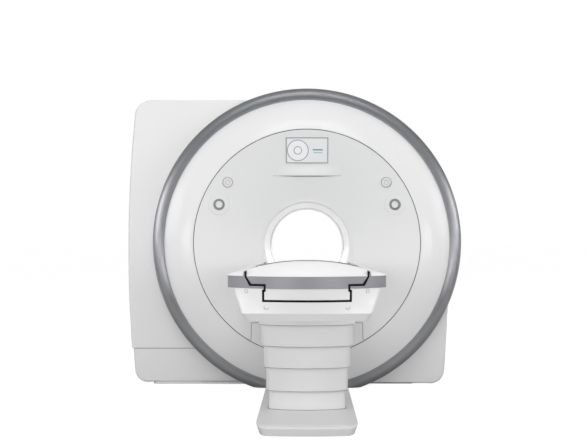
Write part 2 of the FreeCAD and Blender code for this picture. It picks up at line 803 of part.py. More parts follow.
def nose_dome():
    """The crowned top of the nose: it rises from the band to a crest and falls behind it."""
    centre_y = TABLE_FRONT + TABLE_NOSE_R
    back_y = TABLE_FRONT + NOSE_LENGTH
    rise = CREST_Z - BAND_TOP
    shoulder = (TABLE_NOSE_R - 0.42 * CREST_BACK, BAND_TOP + 0.66 * rise)
    slope = bow((TABLE_NOSE_R, BAND_TOP), shoulder, (TABLE_NOSE_R - CREST_BACK, CREST_Z), 4)
    fall = [(TABLE_NOSE_R - NOSE_LENGTH - 10, BOARD_RIM + NOSE_STEP), (0.0, BOARD_RIM + NOSE_STEP)]
    dome = turned_z([(0.0, BAND_TOP)] + slope + fall, 0.0, centre_y)
    arch = rod_y(CREST_ARCH_R, TABLE_FRONT - 10, back_y, CREST_Z - CREST_ARCH_R)
    return dome.common(arch)


def nose_cap():
    return nose_dome().common(nose_prism(0.0))


def nose_band():
    """The piece of silver band that travels with the nose."""
    back = TABLE_FRONT + NOSE_LENGTH - 20
    shell = band_blank(0.0, BAND_BOTTOM, BAND_TOP - SEAT, back).cut(
        band_blank(BAND_THICK, BAND_BOTTOM - 1, BAND_TOP + 1, back + 1)
    )
    return shell.common(nose_prism(0.0))


def nose_keel():
    """The body of the nose: the white keel below and the core behind the band."""
    back = TABLE_FRONT + NOSE_LENGTH
    core = band_blank(BAND_THICK + SEAT, BAND_BOTTOM - 0.5, BAND_TOP - SEAT, back)
    lower = lower_blank(0.0).common(box(-FAR, FAR, -FAR, back, 0, BAND_BOTTOM - SEAT))
    return core.fuse(lower).common(nose_prism(0.0))


def nose_seal():
    """The black rubber strip at the front of the channel, round the nose's outline."""
    back = TABLE_FRONT + NOSE_LENGTH - NOSE_SEAL_CLEAR
    upper = band_blank(NOSE_SEAL_SUNK, BAND_BOTTOM, WING_TOP - NOSE_SEAL_SUNK, back)
    lower = lower_blank(NOSE_SEAL_SUNK).common(box(-FAR, FAR, -FAR, back, 0, BAND_BOTTOM))
    strip = nose_prism(NOSE_GAP - SEAT).cut(nose_prism(NOSE_GAP - SEAL_THICK))
    return upper.fuse(lower).common(strip)


# ---------------------------------------------------------------- table: board
def board_section(y0, y1):
    rim_in = BOARD_HALF - BOARD_RIM_WIDTH
    return extruded_y(
        y0,
        y1,
        (-BOARD_HALF + 14, BOARD_UNDER),
        (BOARD_HALF - 14, BOARD_UNDER),
        (BOARD_HALF, BOARD_UNDER + 14),
        (BOARD_HALF, BOARD_RIM - 4),
        (BOARD_HALF - 4, BOARD_RIM),
        (rim_in, BOARD_RIM),
        ((0.0, BOARD_DISH), (-rim_in, BOARD_RIM)),
        (-BOARD_HALF + 4, BOARD_RIM),
        (-BOARD_HALF, BOARD_RIM - 4),
        (-BOARD_HALF, BOARD_UNDER + 14),
    )


def tabletop():
    """The patient board: a long dished plate on two glide strips."""
    start = TABLE_FRONT + NOSE_LENGTH + SEAT
    board = board_section(start, BOARD_BACK)
    corners = [e for e in board.Edges if is_board_end_corner(e)]
    board = board.makeFillet(60.0, corners) if corners else board
    for side in (-1, 1):
        low, high = sorted((side * GLIDE_IN, side * GLIDE_OUT))
        strip = box(low, high, start, BOARD_BACK - 70, BOARD_UNDER - GLIDE_THICK, BOARD_UNDER + 1)
        board = board.fuse(strip)
    return board


def is_board_end_corner(edge):
    ends = [v.Point for v in edge.Vertexes]
    upright = len(ends) == 2 and abs(ends[0].z - ends[1].z) > 10 and abs(ends[0].x - ends[1].x) < 0.1
    return upright and abs(ends[0].y - BOARD_BACK) < 0.1 and abs(abs(ends[0].x) - BOARD_HALF) < 0.1


def mattress_pad():
    """The patient's mat in the dish of the board."""
    start = TABLE_FRONT + NOSE_LENGTH + PAD_END_GAP
    end = BOARD_BACK - PAD_END_GAP
    rim_in = BOARD_HALF - BOARD_RIM_WIDTH
    depth = BOARD_RIM - BOARD_DISH
    dish_r = (rim_in**2 + depth**2) / (2 * depth)
    edge_z = BOARD_DISH + dish_r - math.sqrt(dish_r**2 - PAD_HALF**2) + SEAT
    return extruded_y(
        start,
        end,
        (-PAD_HALF, edge_z),
        ((0.0, BOARD_DISH + SEAT), (PAD_HALF, edge_z)),
        (PAD_HALF, PAD_TOP - 4),
        ((0.0, PAD_TOP), (-PAD_HALF, PAD_TOP - 4)),
    )


# ---------------------------------------------------------------- table: fixed top
def table_band():
    """The silver band on the fixed part of the table."""
    shell = band_blank(0.0, BAND_BOTTOM, BAND_TOP).cut(
        band_blank(BAND_THICK, BAND_BOTTOM - 1, BAND_TOP + 1, TABLE_BACK + 1)
    )
    return shell.cut(nose_prism(NOSE_GAP))


def wing(side):
    """A side wing: a hollow profile with a sloping top, trimmed at the nose."""
    inner = NOSE_TOP_HALF + NOSE_GAP + CHANNEL_WALL + SEAT
    outer = TABLE_HALF - BAND_THICK - SEAT
    half = [
        (inner, BAND_BOTTOM + SEAT),
        (outer, BAND_BOTTOM + SEAT),
        (outer, BAND_TOP + SEAT),
        (TABLE_HALF, BAND_TOP + SEAT),
        (TABLE_HALF - 1, WING_EDGE),
        (TABLE_HALF - 7, WING_EDGE + 4),
        (inner + 8, WING_TOP),
        (inner, WING_TOP),
    ]
    hollow = [
        (inner + WING_WALL, BAND_BOTTOM + SEAT + WING_WALL),
        (outer - WING_WALL, BAND_BOTTOM + SEAT + WING_WALL),
        (outer - WING_WALL, WING_EDGE - WING_WALL),
        (inner + WING_WALL, WING_TOP - WING_WALL - 4),
    ]
    solid = extruded_y(TABLE_FRONT, TABLE_BACK, *[(side * x, z) for x, z in half])
    core = extruded_y(TABLE_FRONT + WING_SOLID, TABLE_BACK - WALL, *[(side * x, z) for x, z in hollow])
    below = band_blank(BAND_THICK + SEAT, 0, BAND_TOP + SEAT, TABLE_BACK)
    above = band_blank(0.0, BAND_TOP + SEAT, FAR, TABLE_BACK)
    trim = below.fuse(above)
    cap = wing_nose_cut()
    return solid.cut(core).common(trim).cut(cap)


def wing_nose_cut():
    """Rounds the front of the wings down to the band."""
    centre_y = TABLE_FRONT + TABLE_NOSE_R
    edge_z = BAND_TOP + SEAT + 1
    rim = bow((TABLE_NOSE_R, edge_z), (TABLE_NOSE_R - 12, WING_TOP - 9), (TABLE_NOSE_R - 60, WING_TOP + 4), 3)
    high = WING_TOP + 40
    above = [(TABLE_NOSE_R - 60, high), (TABLE_NOSE_R + 60, high), (TABLE_NOSE_R + 60, edge_z)]
    ring = turned_z(rim + above, 0.0, centre_y)
    return ring.common(box(-FAR, FAR, -FAR, centre_y, -FAR, FAR))


def channel_liner():
    """The long channel that the nose's keel runs through, with a shoulder on each side."""
    outer = nose_prism(NOSE_GAP + CHANNEL_WALL)
    top = WING_TOP
    blank = outer.common(box(-FAR, FAR, TABLE_FRONT, TABLE_BACK, 0, top))
    shape = blank.cut(nose_prism(NOSE_GAP))
    trim_high = band_blank(BAND_THICK + SEAT, BAND_BOTTOM + SEAT, FAR)
    return shape.common(trim_high.fuse(lower_hollow(SEAT)))


def guide_rails():
    """Rails on the channel's shoulders, which carry the board's glide strips."""
    shoulder = SHOULDER_Z - NOSE_GAP
    start = TABLE_FRONT + NOSE_LENGTH + 30
    return group(
        box(GLIDE_IN, GLIDE_OUT, start, TABLE_BACK, shoulder, rail_top()),
        box(-GLIDE_OUT, -GLIDE_IN, start, TABLE_BACK, shoulder, rail_top()),
    )


def table_base_cover():
    """The lower body: an open-topped moulding with a notch for the nose's keel."""
    shell = lower_blank(0.0).cut(lower_hollow(0.0))
    notch = nose_prism(NOSE_GAP)
    well = collar_plan(0.0, BODY_BOTTOM - 1, BODY_BOTTOM + BODY_WALL + 1)
    return shell.cut(notch).cut(well)


def lower_hollow(inset):
    """The hollow of the lower body, open at its top, or what fits into it with inset to spare."""
    return plan_solid(
        BOTTOM_HALF - BODY_WALL - inset,
        LOWER_NOSE_R,
        TABLE_CORNER,
        TABLE_FRONT + BOTTOM_BACKSET + BODY_WALL + inset,
        TABLE_BACK - BODY_WALL - inset,
        BODY_BOTTOM + BODY_WALL + inset,
        BAND_BOTTOM + 1,
    )


def table_frame():
    """The beam under the channel: it carries the table on the lift column."""
    start = TABLE_FRONT + FRAME_END_GAP
    end = TABLE_BACK - FRAME_END_GAP / 2
    beam = box(-FRAME_HALF, FRAME_HALF, start, end, FRAME_BOTTOM, FRAME_TOP)
    for n in range(5):
        if n == 2:
            continue
        middle = start + (end - start) * (n + 0.5) / 5
        rim = FRAME_HALF - FRAME_RIM
        window = box(-rim, rim, middle - FRAME_WINDOW, middle + FRAME_WINDOW, 0, FAR)
        beam = beam.cut(window)
    floor = KEEL_Z - NOSE_GAP - CHANNEL_WALL
    low_y, high_y = COLUMN_Y - FRAME_PAD, COLUMN_Y + FRAME_PAD
    return beam.fuse(box(-FRAME_HALF, FRAME_HALF, low_y, high_y, FRAME_TOP - 1, floor - SEAT))


# ---------------------------------------------------------------- pedestal
def sleeve_plan(step, inset, z0, z1):
    """The plan of a shroud: step 0 is the fixed inner one, each further one is larger."""
    grow = SHROUD_STEP * step - inset
    return plan_solid(
        SHROUD_HALF + grow,
        SHROUD_NOSE_R + grow,
        SHROUD_CORNER + grow,
        COLUMN_FRONT - grow,
        COLUMN_BACK + grow,
        z0,
        z1,
    )


def shroud(step, z0, z1):
    """A sleeve with a lip at its lower edge that runs on the next smaller sleeve."""
    sleeve = sleeve_plan(step, 0.0, z0, z1)
    hollow = sleeve_plan(step, SHROUD_WALL, z0 + SHROUD_LIP, z1 + 1)
    shape = sleeve.cut(hollow)
    if step == 0:
        return shape.cut(sleeve_plan(step, SHROUD_WALL, z0 - 1, z1))
    return shape.cut(sleeve_plan(step - 1, -SHROUD_RUN, z0 - 1, z1))


def collar_plan(inset, z0, z1):
    return sleeve_plan(4, inset, z0, z1)


def column_collar():
    return shroud(4, SHROUD_BOTTOMS[0], SHROUD_TOPS[0] - SEAT)


def square_tube(half, z0, z1):
    outer = box(-half, half, COLUMN_Y - half, COLUMN_Y + half, z0, z1)
    bore = half - STAGE_WALL
    return outer.cut(box(-bore, bore, COLUMN_Y - bore, COLUMN_Y + bore, z0 - 1, z1 + 1))


def stage_half(number):
    return STAGE_HALF - number * (STAGE_WALL + STAGE_RUN)


def lift_motor():
    """The gearmotor that drives the ram, on the column's base plate."""
    body = rod_z(LIFT_MOTOR_R, LIFT_MOTOR_X, COLUMN_Y, COLUMN_PLATE + 30, LIFT_MOTOR_TOP)
    gearbox = box(
        LIFT_MOTOR_X - 46, LIFT_MOTOR_X + 46, COLUMN_Y - 60, COLUMN_Y + 60, COLUMN_PLATE, COLUMN_PLATE + 34
    )
    return body.fuse(gearbox)


def column_base_plate():
    """The floor plate of the pedestal, with its anchor holes."""
    half_x = SHROUD_HALF - SHROUD_WALL - SEAT
    half_y = COLUMN_ANCHOR_Y + COLUMN_PLATE_MARGIN
    plate = box(-half_x, half_x, COLUMN_Y - half_y, COLUMN_Y + half_y, 0, COLUMN_PLATE)
    for x in (-COLUMN_ANCHOR_X, COLUMN_ANCHOR_X):
        for y in (-COLUMN_ANCHOR_Y, COLUMN_ANCHOR_Y):
            plate = plate.cut(rod_z(ANCHOR_R, x, COLUMN_Y + y, -1, COLUMN_PLATE + 1))
    return plate


def foot_blank(inset, z0, z1):
    """The foot's form: drawn in at the floor, widest below the bevel of its top edge."""
    wires = []
    levels = (
        (FOOT_UNDERCUT, 0.0),
        (0.0, FOOT_BEVEL_Z),
        (FOOT_BEVEL, FOOT_TOP),
    )
    for narrow, z in levels:
        wires.append(
            plan_wire(
                FOOT_HALF - narrow - inset,
                FOOT_NOSE_R - narrow - inset,
                FOOT_CORNER - narrow - inset,
                FOOT_FRONT + narrow + inset,
                FOOT_BACK - inset,
                z,
            )
        )
    return Part.makeLoft(wires, True, True).common(box(-FAR, FAR, -FAR, FAR, z0, z1))


def foot_cover():
    """The plinth from the pedestal to the magnet: an open-bottomed moulding."""
    hollow = foot_blank(FOOT_WALL, 0.0, FOOT_TOP - FOOT_WALL)
    well = sleeve_plan(0, -SEAT, -1, FOOT_TOP + 1)
    return foot_blank(0.0, 0.0, FOOT_TOP).cut(hollow).cut(well)


# ---------------------------------------------------------------- everything
def scanner():
    """All pieces by name."""
    cabinet = cabinet_blank()
    blank = fascia_blank()
    pieces = {
        "ring_trim": ring_trim(),
        "front_bezel": front_bezel(),
        "inner_fascia": inner_fascia(blank),
        "lower_panel": lower_panel(blank),
        "display_bezel": display_bezel(),
        "display_screen": display_screen(),
        "control_pods": both_sides(control_pod(), KNOB_X, KNOB_Z),
        "dial_rings": both_sides(dial_ring(), KNOB_X, KNOB_Z),
        "dial_knob_left": on_dish(dial_knob(), -KNOB_X, KNOB_Z),
        "dial_knob_right": on_dish(dial_knob(), KNOB_X, KNOB_Z),
        "stop_rings": both_sides(stop_ring(), STOP_X, STOP_Z),
        "stop_button_left": on_dish(stop_cap(), -STOP_X, STOP_Z),
        "stop_button_right": on_dish(stop_cap(), STOP_X, STOP_Z),
        "front_funnel": front_funnel(),
        "body_coil": body_coil(),
        "rear_funnel": rear_funnel(),
        "bore_rails": bore_rails(),
        "left_cover": left_cover(cabinet),
        "right_cover": right_cover(cabinet),
        "kick_panel": kick_panel(cabinet),
        "rear_cover": rear_cover(cabinet),
        "drum_cover": drum_cover(),
        "magnet_vessel": tube_about_bore(VESSEL_R, VESSEL_BORE_R, VESSEL_HALF),
        "gradient_coil": tube_about_bore(GRADIENT_R, GRADIENT_BORE_R, GRADIENT_HALF),
        "cold_head": cold_head(),
        "floor_plate": floor_plate(),
        "magnet_cradles": magnet_cradles(),
        "cover_standoffs": cover_standoffs(),
        "nose_cap": nose_cap(),
        "nose_band": nose_band(),
        "nose_keel": nose_keel(),
        "nose_seal": nose_seal(),
        "tabletop": tabletop(),
        "mattress_pad": mattress_pad(),
        "table_band": table_band(),
        "wing_left": wing(-1),
        "wing_right": wing(1),
        "channel_liner": channel_liner(),
        "guide_rails": guide_rails(),
        "table_base_cover": table_base_cover(),
        "table_frame": table_frame(),
        "column_collar": column_collar(),
        "shroud_1": shroud(3, SHROUD_BOTTOMS[1], SHROUD_TOPS[1]),
        "shroud_2": shroud(2, SHROUD_BOTTOMS[2], SHROUD_TOPS[2]),
        "shroud_3": shroud(1, SHROUD_BOTTOMS[3], SHROUD_TOPS[3]),
        "shroud_4": shroud(0, FLOOR_GAP, FIXED_SHROUD_TOP),
        "column_outer": square_tube(stage_half(0), COLUMN_PLATE, STAGE_LOW_TOP),
        "column_middle": square_tube(stage_half(1), STAGE_MID_BOTTOM, STAGE_MID_TOP),
        "column_inner": square_tube(stage_half(2), STAGE_HIGH_BOTTOM, FRAME_BOTTOM),
        "lift_motor": lift_motor(),
        "column_base_plate": column_base_plate(),
        "foot_cover": foot_cover(),
    }
    return pieces


def main():
    os.makedirs("parts", exist_ok=True)
    for name, shape in scanner().items():
        solids = shape.Solids
        print(f"{name}: {len(solids)} solid, {shape.Volume / 1e6:.2f} dm3, valid {shape.isValid()}")
        shape.exportStep(f"parts/{name}.step")


main()
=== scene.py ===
"""Looks of a magnetic resonance scanner with its patient table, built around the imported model.

Metres. X runs to the right as seen from the front, Y from the table into the bore and Z up.
"""

import math

import bmesh
import bpy
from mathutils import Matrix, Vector

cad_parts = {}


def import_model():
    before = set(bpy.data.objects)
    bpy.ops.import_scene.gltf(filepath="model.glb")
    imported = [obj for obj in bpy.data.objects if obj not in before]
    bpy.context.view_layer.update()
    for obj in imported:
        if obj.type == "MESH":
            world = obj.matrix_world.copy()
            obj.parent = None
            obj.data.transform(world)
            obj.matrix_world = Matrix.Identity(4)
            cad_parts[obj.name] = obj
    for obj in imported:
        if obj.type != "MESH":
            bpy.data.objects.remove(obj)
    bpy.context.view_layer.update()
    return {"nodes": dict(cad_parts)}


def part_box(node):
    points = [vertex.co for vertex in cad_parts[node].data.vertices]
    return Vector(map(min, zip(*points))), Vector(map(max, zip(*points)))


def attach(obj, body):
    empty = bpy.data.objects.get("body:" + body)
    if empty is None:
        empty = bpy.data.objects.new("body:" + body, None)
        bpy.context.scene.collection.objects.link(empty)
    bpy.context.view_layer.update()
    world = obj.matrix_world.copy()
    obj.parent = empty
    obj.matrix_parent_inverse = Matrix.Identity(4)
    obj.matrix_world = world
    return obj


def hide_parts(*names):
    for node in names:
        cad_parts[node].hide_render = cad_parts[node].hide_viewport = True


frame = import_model()

UP = Vector((0, 0, 1))
FRONT = Vector((0, -1, 0))
BACK = Vector((0, 1, 0))

# ---- camera, found from the photograph ----
PHOTO_WIDTH, PHOTO_HEIGHT = 587, 440
FOCAL_PX = 887.0
VANISH_X, VANISH_Y = 307.0, 243.5  # where lines along Y meet
CAMERA_PLACE = Vector((0.0, -6.90, 1.010))
SENSOR_MM = 36.0

# ---- sizes that the frame gives ----
ring_low, ring_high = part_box("ring_trim")
RING_R = ring_high.x
RING_Z = ring_high.z - RING_R
RING_BACK = ring_high.y
FLOOR_GAP = ring_low.z
BEZEL_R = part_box("front_bezel")[1].x
FASCIA_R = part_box("inner_fascia")[1].x
mouth_low, mouth_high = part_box("front_funnel")
MOUTH_R = mouth_high.x
BORE_Z = (mouth_low.z + mouth_high.z) / 2
outlet_low, outlet_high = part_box("rear_funnel")
rear_low, rear_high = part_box("rear_cover")
kick_low, kick_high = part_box("kick_panel")
left_low, left_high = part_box("left_cover")
BAND_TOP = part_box("table_band")[1].z
nose_low, nose_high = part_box("nose_cap")

# ---- front cover ----
RING_PLANE = -0.700  # where the silver ring is widest
RING_CROWN = 0.048
RING_CROWN_SHIFT = 0.004
RING_CLEARANCE = 0.0004
SEAM_Y = -0.748
EDGE_Y = -0.716  # front of the bezel where it meets the ring
BEZEL_CROWN = 0.009
COVER_WALL = 0.006
EDGE_ROUND = 0.002
SEAM_WIDTH = 0.0045
SEAM_DEPTHS = (0.0035, 0.012)  # where the dark strip in the seam begins and ends
BORE_R = 0.300
TUBE_WALL = 0.005
MOUTH_Y = -0.612
MOUTH_DEPTH = 0.016
LIP_PROUD = 0.007
LIP_BEND = 0.006
FUNNEL_FLARE = 0.090
FLARE_BEND = (0.012, 0.4)  # how far out, and at what share of the flare, it curves most
REAR_MOUTH_R = 0.350
DISH_SLOPE = (MOUTH_Y - SEAM_Y) / (FASCIA_R - MOUTH_R)

# ---- joint lines and edge strips ----
LINE_WIDTH = 0.004
LINE_LIFT = 0.0003
LINE_SHIFT = 0.0004  # how far a line lies beside the edge that it marks
REAR_LINE_SINK = 0.0002
REAR_LINE_LOW = 0.02  # below this height the rear cover's joint isn't drawn
REAR_LINE_START, REAR_LINE_SWEEP = -42, 264  # degrees from the right, anticlockwise
TOP_LINE_START = 0.012
KICK_LINE_WIDTH = 0.005
KICK_LINE_LIFT = 0.0006
KICK_LINE_DROP = 0.002
KICK_LINE_END = 0.010
BORE_LINE = (0.0025, 0.002, 0.006)  # how far it shows, how deep it sits, how wide it is
OUTLET_STRIP = (0.0005, 0.0075, 0.004)  # from and to beyond the mouth's radius, and its depth

# ---- controls: heights count from the fascia's surface, along its normal ----
AXIS_R = 0.0005  # stands for zero where a turned shape meets its axis
FIT = 0.0003
KNOB_PLACE = (0.614, 1.282)
KNOB_R = 0.025
KNOB_FIT = 0.0004
KNOB_TAPER = 0.001
KNOB_FLOOR, KNOB_TOP = -0.013, 0.012
KNOB_DISH = [(0.016, KNOB_TOP, 0.002), (0.014, 0.0105, 0.001), (AXIS_R, 0.010, 0)]  # radius, height, rounding
FLUTES = 24
FLUTE_DEPTH = 0.0009
FLUTED_R = 0.02  # only what lies further out has flutes
DIAL_RING_R = 0.040
DIAL_FLOOR, DIAL_TOP = -0.0137, 0.004
POD_R = 0.073
POD_HOLE_R = 0.0075
POD_LEVELS = (-0.026, -0.014, 0.002)  # its back, floor and top
STOP_PLACE = (0.553, 1.436)
STOP_CAP_R = 0.031
STOP_CAP_FLOOR, STOP_CAP_TOP = -0.0150, 0.008
STOP_CAP_DISH = [(0.020, 0.0078, 0.004), (0.012, 0.0062, 0.004), (AXIS_R, 0.006, 0)]
STOP_INLAY = [(0.0135, 0.0060), (0.0165, 0.0060), (0.0165, 0.0078), (0.0135, 0.0074)]
STOP_RING_R = 0.037
STOP_RING_ROUND = 0.0012
STOP_CORE_R = 0.001
STOP_LEVELS = (-0.024, -0.0195, 0.002)

# ---- brow under the display ----
BROW_Z = 1.486
BROW_HALF = 0.255
BROW_RISE = 0.080
BROW_PROUD = 0.016
BROW_LIFT = 0.0001
BROW_WALL = 0.004
BROW_LIP = 0.003
# The dark strip under the brow is painted shade: it stands for the brow's shadow.
BROW_SHADE = 0.0055
BROW_SHADE_HALF = 0.240
BROW_SHADE_END = 0.04  # what is left of its height at both ends
BROW_SHADE_PROUD = 0.0015
BROW_SHADE_TOP = 0.001

# ---- lower access panel ----
PANEL_HALF = 0.388
PANEL_KNEE_Z = 0.348
PANEL_FLARE = 0.014

# ---- cabinet ----
SKIRT_X = -1.10
SKIRT_CORNER = 0.04
SKIRT_WIDTH = 0.008
SKIRT_BACK = 0.006
SKIRT_Z = (0.0035, 0.0195)

# ---- screw plugs ----
TABLE_SCREWS = (  # name, pixel in the photograph, radius
    ("screw_cap_high", (245.5, 291.5), 0.0075),
    ("screw_cap_low", (265.9, 307.6), 0.0085),
)
TABLE_SCREW_DEPTH = 0.02  # how far they lie behind the front of the cover
REAR_SCREWS = ((-1.14, 0.13), (-1.15, 1.00), (-1.10, 1.90), (0.38, 1.86), (0.88, 1.00), (0.86, 0.13))
REAR_SCREW_R = 0.012
REAR_SCREW_SINK = 0.0002
SCREW_DEPTH = 0.003
SCREW_GAP = 0.0018
SCREW_FIT = 0.0006
SCREW_EDGE, SCREW_TOP = 0.0012, 0.0016
SCREW_TIP_R = 0.0004

# ---- display ----
DISPLAY_Z = 1.661
SCREEN_LIFT = 0.0056  # the figure lies just proud of the glass
FIGURE_X = -0.064
FIGURE_R = 0.075
FIGURE_EYE_R = 0.029
FIGURE_LINE = 0.005
FIGURE_THICK = 0.0004
BAR_ROUND = 0.003
BARS = (  # name, across, up, width, height, finish
    ("bar_title", 0.075, 0.004, 0.070, 0.010, "figure_line"),
    ("bar_accent", 0.075, -0.016, 0.062, 0.007, "figure_teal"),
    ("bar_small", 0.068, -0.030, 0.048, 0.005, "figure_light"),
)

# ---- table ----
NOSE_R = 0.470
NOSE_CENTRE_Y = nose_low.y + NOSE_R
NOSE_LENGTH = 0.250
NOSE_SWELL = 1.9  # the power with which its top rises from the band
NOSE_EDGE = 0.0004
NOSE_INSET = 0.0003
NOSE_SPACING = 1.15  # the power that sets its rows closer in front
CREST_BACK = 0.150
CREST_Z = 0.932
CREST_ARCH_R = 0.930
CREST_BLEND = 900.0  # how sharply the arch cuts the swell
# The thin dark strip along the crest is painted shade.
CREST_HALF = 0.235
CREST_SHADE_WIDTH = 0.006
CREST_SHADE_LIFT = 0.0045
LUG_X = 0.192
LUG_SETBACK = 0.006
LUG_SINK = 0.003
LUG_HALF = 0.003
LUG_HEIGHT = 0.014
BOARD_RIM = 0.888
FALL_SPARE = 0.01
FALL_STRAIGHT = 0.9  # how straight the nose falls behind its crest

# ---- mattress pad ----
PAD_CHANNELS = 3
PAD_CHANNEL_DEPTH = 0.006
PAD_CHANNEL_HALF = 0.010
PAD_END = 0.014
PAD_PULL = 0.004
PAD_SIDE_GAP = 0.002
PAD_END_WIDTH, PAD_END_THICK = 0.94, 0.25  # shares that are left at both ends
PAD_DISH = 0.0275
PAD_CROWN = 0.0035
PAD_SIDE_POWER, PAD_EDGE_POWER = 0.22, 0.55  # how square its section is

# ---- pedestal ----
SLEEVES = (  # name, node, body, from the top
    ("collar_skirt", "column_collar", "table"),
    ("sleeve_1", "shroud_1", "shroud_1"),
    ("sleeve_2", "shroud_2", "shroud_2"),
    ("sleeve_3", "shroud_3", "shroud_3"),
)
SLEEVE_STEP = 0.0145  # how much each sleeve's corner radius gains on the one below it
SLEEVE_NOSE = 0.299  # how much larger the nose radius is than half the sleeve's width
SLEEVE_CORNER = 0.032
SLEEVE_WALL = 0.004
LIP_HEIGHT = 0.006
LIP_REACH = 0.0095
LIP_ROUND = 0.0035
WIPER_SHADE_INSETS = (0.0025, 0.008)
WIPER_SHADE_HANG = 0.0016  # how far the dark wiper strip shows under a sleeve's lip, where it also paints the shade under the lip
WIPER_SHADE_SINK = 0.001
BOW_STEPS, TURN_STEPS, SIDE_STEPS, REAR_STEPS = 16, 12, 6, 4
REAR_CORNER = 0.004
FOOT_FRONT_HALF = 0.205  # half the straight part of the plinth's front
FOOT_CORNER_X = 0.256
FOOT_CORNER_BACK = 0.090
FOOT_CORNER_SPREAD = 0.012
FOOT_TAPER = 0.215  # how far back the plinth reaches its full width
FOOT_BOW = 0.012
FOOT_NARROW = 0.008  # the plinth is this much narrower than its solid on each side
FOOT_LIFT = 0.0005
FOOT_TOE = 0.014
FOOT_RIM_Z = 0.046
FOOT_SLOPE, FOOT_FLAT = 0.034, 0.048  # insets where its slope ends and its top begins
FOOT_SLOPE_ROUND, FOOT_RIM_ROUND = 0.018, 0.005
FOOT_CORNER_DROP = 0.004
FOOT_BACK_SHARE = 0.2
FOOT_HOLLOW, FOOT_HOLLOW_TOE = 0.046, 0.020  # insets of the hollow below, at its top and its foot
FOOT_HOLLOW_DEPTH = 0.008
WELL = ((0.0035, 0.0), (0.001, -0.003), (0.001, -0.006))  # gap round the pedestal, and height
GASKET_SHADE = (-0.001, 0.0042, 0.0, 0.0022)  # a dark gasket in the well that is also painted shade of the gap: from and to round the pedestal, from and to in height

# ---- studio ----
ROOM_LEVELS = ((0.15, 0.10), (0.50, 0.15), (0.85, 0.32))  # grey by height: 0 is straight down
BACKDROP_EDGE = (0.35, 0.85)  # how far back, as a share of straight back, the white backdrop begins
FLOOR_HALF = 400.0
FLOOR_EDGE = (-0.55, 0.1)  # Y over which the floor becomes part of the white backdrop
FLOOR_COLOUR = (0.36, 0.36, 0.36, 1)
FLOOR_SHADED = (0.30, 0.30, 0.30, 1)
FLOOR_EVEN = 0.905
LAMPS = (  # name, place, aim, width, height, watts, shown by glossy surfaces
    ("front_low", (0.0, -8.0, 0.6), (0, -1.4, 0.7), 4.0, 1.2, 50.0, False),
    ("bounce", (0.0, -3.15, 0.10), (0, -3.0, 0.7), 1.0, 0.3, 1.3, False),
    ("front_high", (0.0, -5.4, 4.5), (0, -1.0, 1.2), 1.8, 1.4, 26.0, False),
    ("strip_top", (0.0, -8.0, 3.5), (0, -0.8, 1.4), 2.0, 1.6, 58.0, True),
    ("strip_left", (-2.8, -8.0, 1.1), (0, -0.8, 1.0), 1.6, 0.7, 30.0, True),
    ("strip_right", (2.8, -8.0, 1.1), (0, -0.8, 1.0), 1.6, 0.7, 30.0, True),
    ("side_left", (-3.9, -3.9, 1.9), (0, -0.8, 1.2), 2.6, 1.4, 44.0, True),
    ("side_right", (3.9, -3.9, 1.9), (0, -0.8, 1.2), 2.6, 1.4, 38.0, True),
    ("fill_left", (-3.6, -3.4, 3.0), (0, -1.4, 0.4), 3.2, 1.8, 31.0, False),
    ("fill_right", (3.6, -3.4, 3.0), (0, -1.4, 0.4), 3.2, 1.8, 36.0, False),
    ("overhead", (0.0, -1.5, 5.2), (0, -1.5, 0), 1.8, 3.0, 40.0, False),
    ("back", (0.0, 6.0, 2.4), (0, 0.7, 1.0), 4.0, 2.5, 140.0, True),
)
BORE_LAMPS = (("bore_front", -0.35, 0.9), ("bore_rear", 0.30, 1.1))  # name, Y, watts
BORE_LAMP_RISE = 0.06
BORE_LAMP_R = 0.12

STEPS_RING = 288
STEPS_BORE = 160
STEPS_SMALL = 64
RING_ARC_STEPS, BEZEL_ARC_STEPS, LIP_ARC_STEPS, FLARE_ARC_STEPS = 28, 24, 12, 14


# ==== materials ====
MIX_A, MIX_B, MIX_OUT = 6, 7, 2  # a mix node's sockets for colours


class Nodes:
    """A small helper to add, link and find the nodes of a shader tree."""

    def __init__(self, tree):
        self.tree = tree

    def add(self, kind, **settings):
        node = self.tree.nodes.new(kind)
        for key, value in settings.items():
            if hasattr(node, key):
                setattr(node, key, value)
            else:
                node.inputs[key.replace("_", " ")].default_value = value
        return node

    def link(self, source, out, target, into):
        self.tree.links.new(source.outputs[out], target.inputs[into])

    def find(self, kind):
        return next(node for node in self.tree.nodes if node.type == kind)


def empty_nodes(owner):
    """The shader tree of a material or a world, emptied."""
    owner.use_nodes = True
    owner.node_tree.nodes.clear()
    return Nodes(owner.node_tree)


def noise(nodes, coords, scale, detail, stretch):
    """A noise texture in the object's own space, stretched along an axis where stretch says."""
    texture = nodes.add("ShaderNodeTexNoise", Scale=scale, Detail=detail)
    if stretch:
        mapping = nodes.add("ShaderNodeMapping", Scale=stretch)
        nodes.link(coords, "Object", mapping, "Vector")
        nodes.link(mapping, "Vector", texture, "Vector")
    else:
        nodes.link(coords, "Object", texture, "Vector")
    return texture


